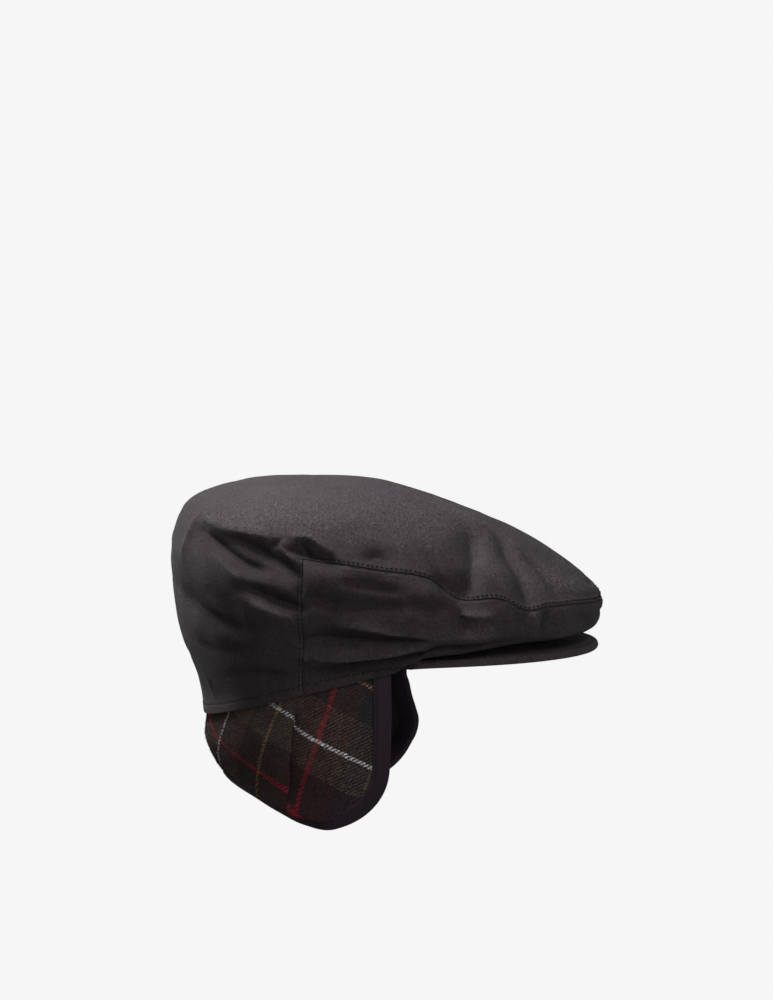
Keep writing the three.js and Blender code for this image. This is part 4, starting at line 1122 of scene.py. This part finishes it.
def makeTape():
    # The section is carried along the free edge, from the hem in front round each ear and the nape.
    # Its flat map runs along and across it.
    stitch = {"pitch": 2.9, "length": 2.0, "thick": 0.28, "sink": 0.05, "in": 1.6, "low": 0.2}
    section, high, low = tapeSection()
    width = tape["width"]
    front = np.linspace(-flap["tuck"], flap["frontDepth"], 36)[:-1]
    corner = cornerAngle(np.linspace(0, 1, 40), flap["frontAngle"])
    ear = flap["earAngle"] * (1 - np.linspace(0, 1, 111)[1:])
    half = np.concatenate([
        np.stack([np.full(35, flap["frontAngle"]), front], -1), np.stack([corner, flapDepth(corner)], -1),
        np.stack([ear, flapDepth(ear)], -1),
    ])
    path = np.concatenate([half, half[:-1][::-1] * [-1, 1]])
    along, down, normal = flapFrame(path[:, 0], path[:, 1])
    step = np.gradient(path, axis=0)
    inward = unit(np.cross(along * step[:, :1] + down * step[:, 1:], normal))
    aa, ad, dd = dot(along, along), dot(along, down), dot(down, down)
    ia, idown = dot(inward, along), dot(inward, down)
    stepIn = np.stack([ia * dd - idown * ad, idown * aa - ia * ad], -1) / (aa * dd - ad * ad)[:, None]

    def place(inset, height):
        where = path[:, None] + stepIn[:, None] * inset[:, None]
        up = flapFrame(where[..., 0], where[..., 1])[2]
        return flapPoint(where[..., 0], where[..., 1]) + up * height[:, None], up

    points = place(section[:, 0], section[:, 1])[0][::-1]
    columns, size = points.shape[:2]
    caps = np.array(tessellate_polygon([[Vector((*p, 0)) for p in section]]))
    p, q = np.diff(section[caps[0]], axis=0)
    if p[0] * q[1] - p[1] * q[0] < 0:
        caps = caps[:, ::-1]
    triangles = np.concatenate([caps[:, ::-1], caps + (columns - 1) * size])
    flat = np.stack(np.meshgrid(runAlong(points[:, 0]), runAlong(section), indexing="ij"), -1).reshape(-1, 2)
    # Paler along the raised inner edges, a painted highlight, and on the fold, where the tape rubs.
    wearAndPaintedLight = np.tile(bell(section[:, 0] - width, 0.7) + 0.45 * bell(section[:, 0], 1.2), columns)
    quads = sweptFaces(columns, size)
    mesh = buildMesh("edge_tape", points.reshape(-1, 3), quads, triangles, uv=flat, attributes={"wearAndPaintedLight": wearAndPaintedLight})
    addPiece("edge_tape", mesh, tapeCloth, ["flap_binding"])
    rows = []
    for height, sign in ((high - stitch["low"], 1), (low + stitch["low"], -1)):
        face, up = (grid[:, 0] for grid in place(np.array([width - stitch["in"]]), np.array([height])))
        size = (stitch[key] for key in ("pitch", "length", "thick", "sink"))
        rows.append(stitchRow(face, sign * up, *size))
    addStitches("tape_stitches", rows)


makeTape()
print("tape made")

# Floor, light and camera
stage = {"floorHeight": -550.0, "radius": 7000.0, "sides": 96, "paper": 0.922, "ambient": 0.1}
view = {
    "turn": 7.0, "tilt": 7.5, "away": 1.8, "frame": (773, 1000), "originPixel": (349, 665),
    "focalPixels": 2727.0, "perPixel": 0.00066,
}
lamps = {  # place, height that it aims at, size and power
    "overhead": ((0, 0.72, 1.6), 0.03, 0.6, 31), "over_far": ((0.9, 0.5, 1.45), 0.03, 0.9, 7),
    "over_near": ((-1.2, -0.7, 0.95), 0, 0.4, 6.5), "from_behind": ((0.9, 1.5, 0.1), 0, 0.6, 4.5),
    "front_fill": ((-1.4, -1.0, 0.35), 0, 0.6, 3.5), "low_fill": ((-1.2, -0.7, -1.0), 0, 0.7, 2),
}


def makeFloor():
    # A wide round floor of evenly lit paper that curves up at its rim and closes overhead, a profile
    # turned about the upright axis. Only the camera sees it, so that the lamps alone light the cap.
    sides, radius = stage["sides"], stage["radius"]
    turn = np.linspace(0, 2 * math.pi, sides + 1)[:-1]
    flat = np.linspace(0, 0.7, 12)[1:]
    bend = np.linspace(-math.pi / 2, math.pi / 2, 40)[1:-1]
    low, high = bend[bend < 0], bend[bend >= 0]
    r = np.concatenate([flat, 0.7 + 0.3 * np.cos(low), np.cos(high)]) * radius
    z = np.concatenate([0 * flat, 0.3 + 0.3 * np.sin(low), 0.3 + np.sin(high)]) * radius
    points = np.stack([np.outer(np.cos(turn), r), np.outer(np.sin(turn), r), np.tile(z, (sides, 1))], -1)
    points = np.concatenate([points.reshape(-1, 3), [[0, 0, 0], [0, 0, 1.3 * radius]]])
    ids = np.arange(sides * len(r)).reshape(sides, len(r))
    n = np.roll(ids, -1, axis=0)
    quads = np.stack([ids[:, :-1], ids[:, 1:], n[:, 1:], n[:, :-1]], -1).reshape(-1, 4)
    fans = np.concatenate([
        np.stack([np.full(sides, ids.size), ids[:, 0], n[:, 0]], -1),
        np.stack([np.full(sides, ids.size + 1), n[:, -1], ids[:, -1]], -1),
    ])
    mesh = buildMesh("floor", points + [0, 0, stage["floorHeight"]], quads, fans)
    material, tree, shader = newMaterial("pale paper")
    shader.inputs["Base Color"].default_value = (0, 0, 0, 1)
    shader.inputs["Specular IOR Level"].default_value = 0.0
    shader.inputs["Emission Color"].default_value = (stage["paper"],) * 3 + (1,)
    shader.inputs["Emission Strength"].default_value = 1.0
    floor = bpy.data.objects.new("floor", mesh)
    bpy.context.collection.objects.link(floor)
    mesh.materials.append(material)
    for ray in ("diffuse", "glossy", "transmission", "volume_scatter", "shadow"):
        setattr(floor, "visible_" + ray, False)


def makeWorld():
    world = bpy.data.worlds.new("studio")
    bpy.context.scene.world = world
    world.use_nodes = True
    world.node_tree.nodes["Background"].inputs[0].default_value = (1, 1, 1, 1)
    world.node_tree.nodes["Background"].inputs[1].default_value = stage["ambient"]


def addLight(name, place, aimHeight, size, power):
    data = bpy.data.lights.new(name, "AREA")
    data.shape, data.size, data.energy = "DISK", size, power
    light = bpy.data.objects.new(name, data)
    bpy.context.collection.objects.link(light)
    light.location = place
    light.visible_camera = False
    x, y, z = place[0], place[1], place[2] - aimHeight
    light.rotation_euler = (math.atan2(math.hypot(x, y), z), 0, math.atan2(y, x) + math.pi / 2)


def addCamera():
    a, e = math.radians(view["turn"]), math.radians(view["tilt"])
    right = np.array([math.sin(a), -math.cos(a), 0])
    back = np.array([-math.cos(a) * math.cos(e), -math.sin(a) * math.cos(e), math.sin(e)])
    up = np.cross(back, right)
    (wide, tall), (px, py) = view["frame"], view["originPixel"]
    aim = right * (wide / 2 - px) * view["perPixel"] + up * (py - tall / 2) * view["perPixel"]
    place = aim + back * view["away"]
    data = bpy.data.cameras.new("camera")
    data.sensor_fit, data.sensor_width, data.sensor_height = "VERTICAL", 36, 36
    data.lens = view["focalPixels"] / tall * 36
    camera = bpy.data.objects.new("camera", data)
    bpy.context.collection.objects.link(camera)
    rows = np.stack([right, up, back, place], -1).tolist()
    camera.matrix_world = Matrix(rows + [[0, 0, 0, 1]])
    bpy.context.scene.camera = camera


makeFloor()
makeWorld()
for name, lamp in lamps.items():
    addLight(name, *lamp)
addCamera()
bpy.context.scene.view_settings.view_transform = "Standard"
print("stage set")
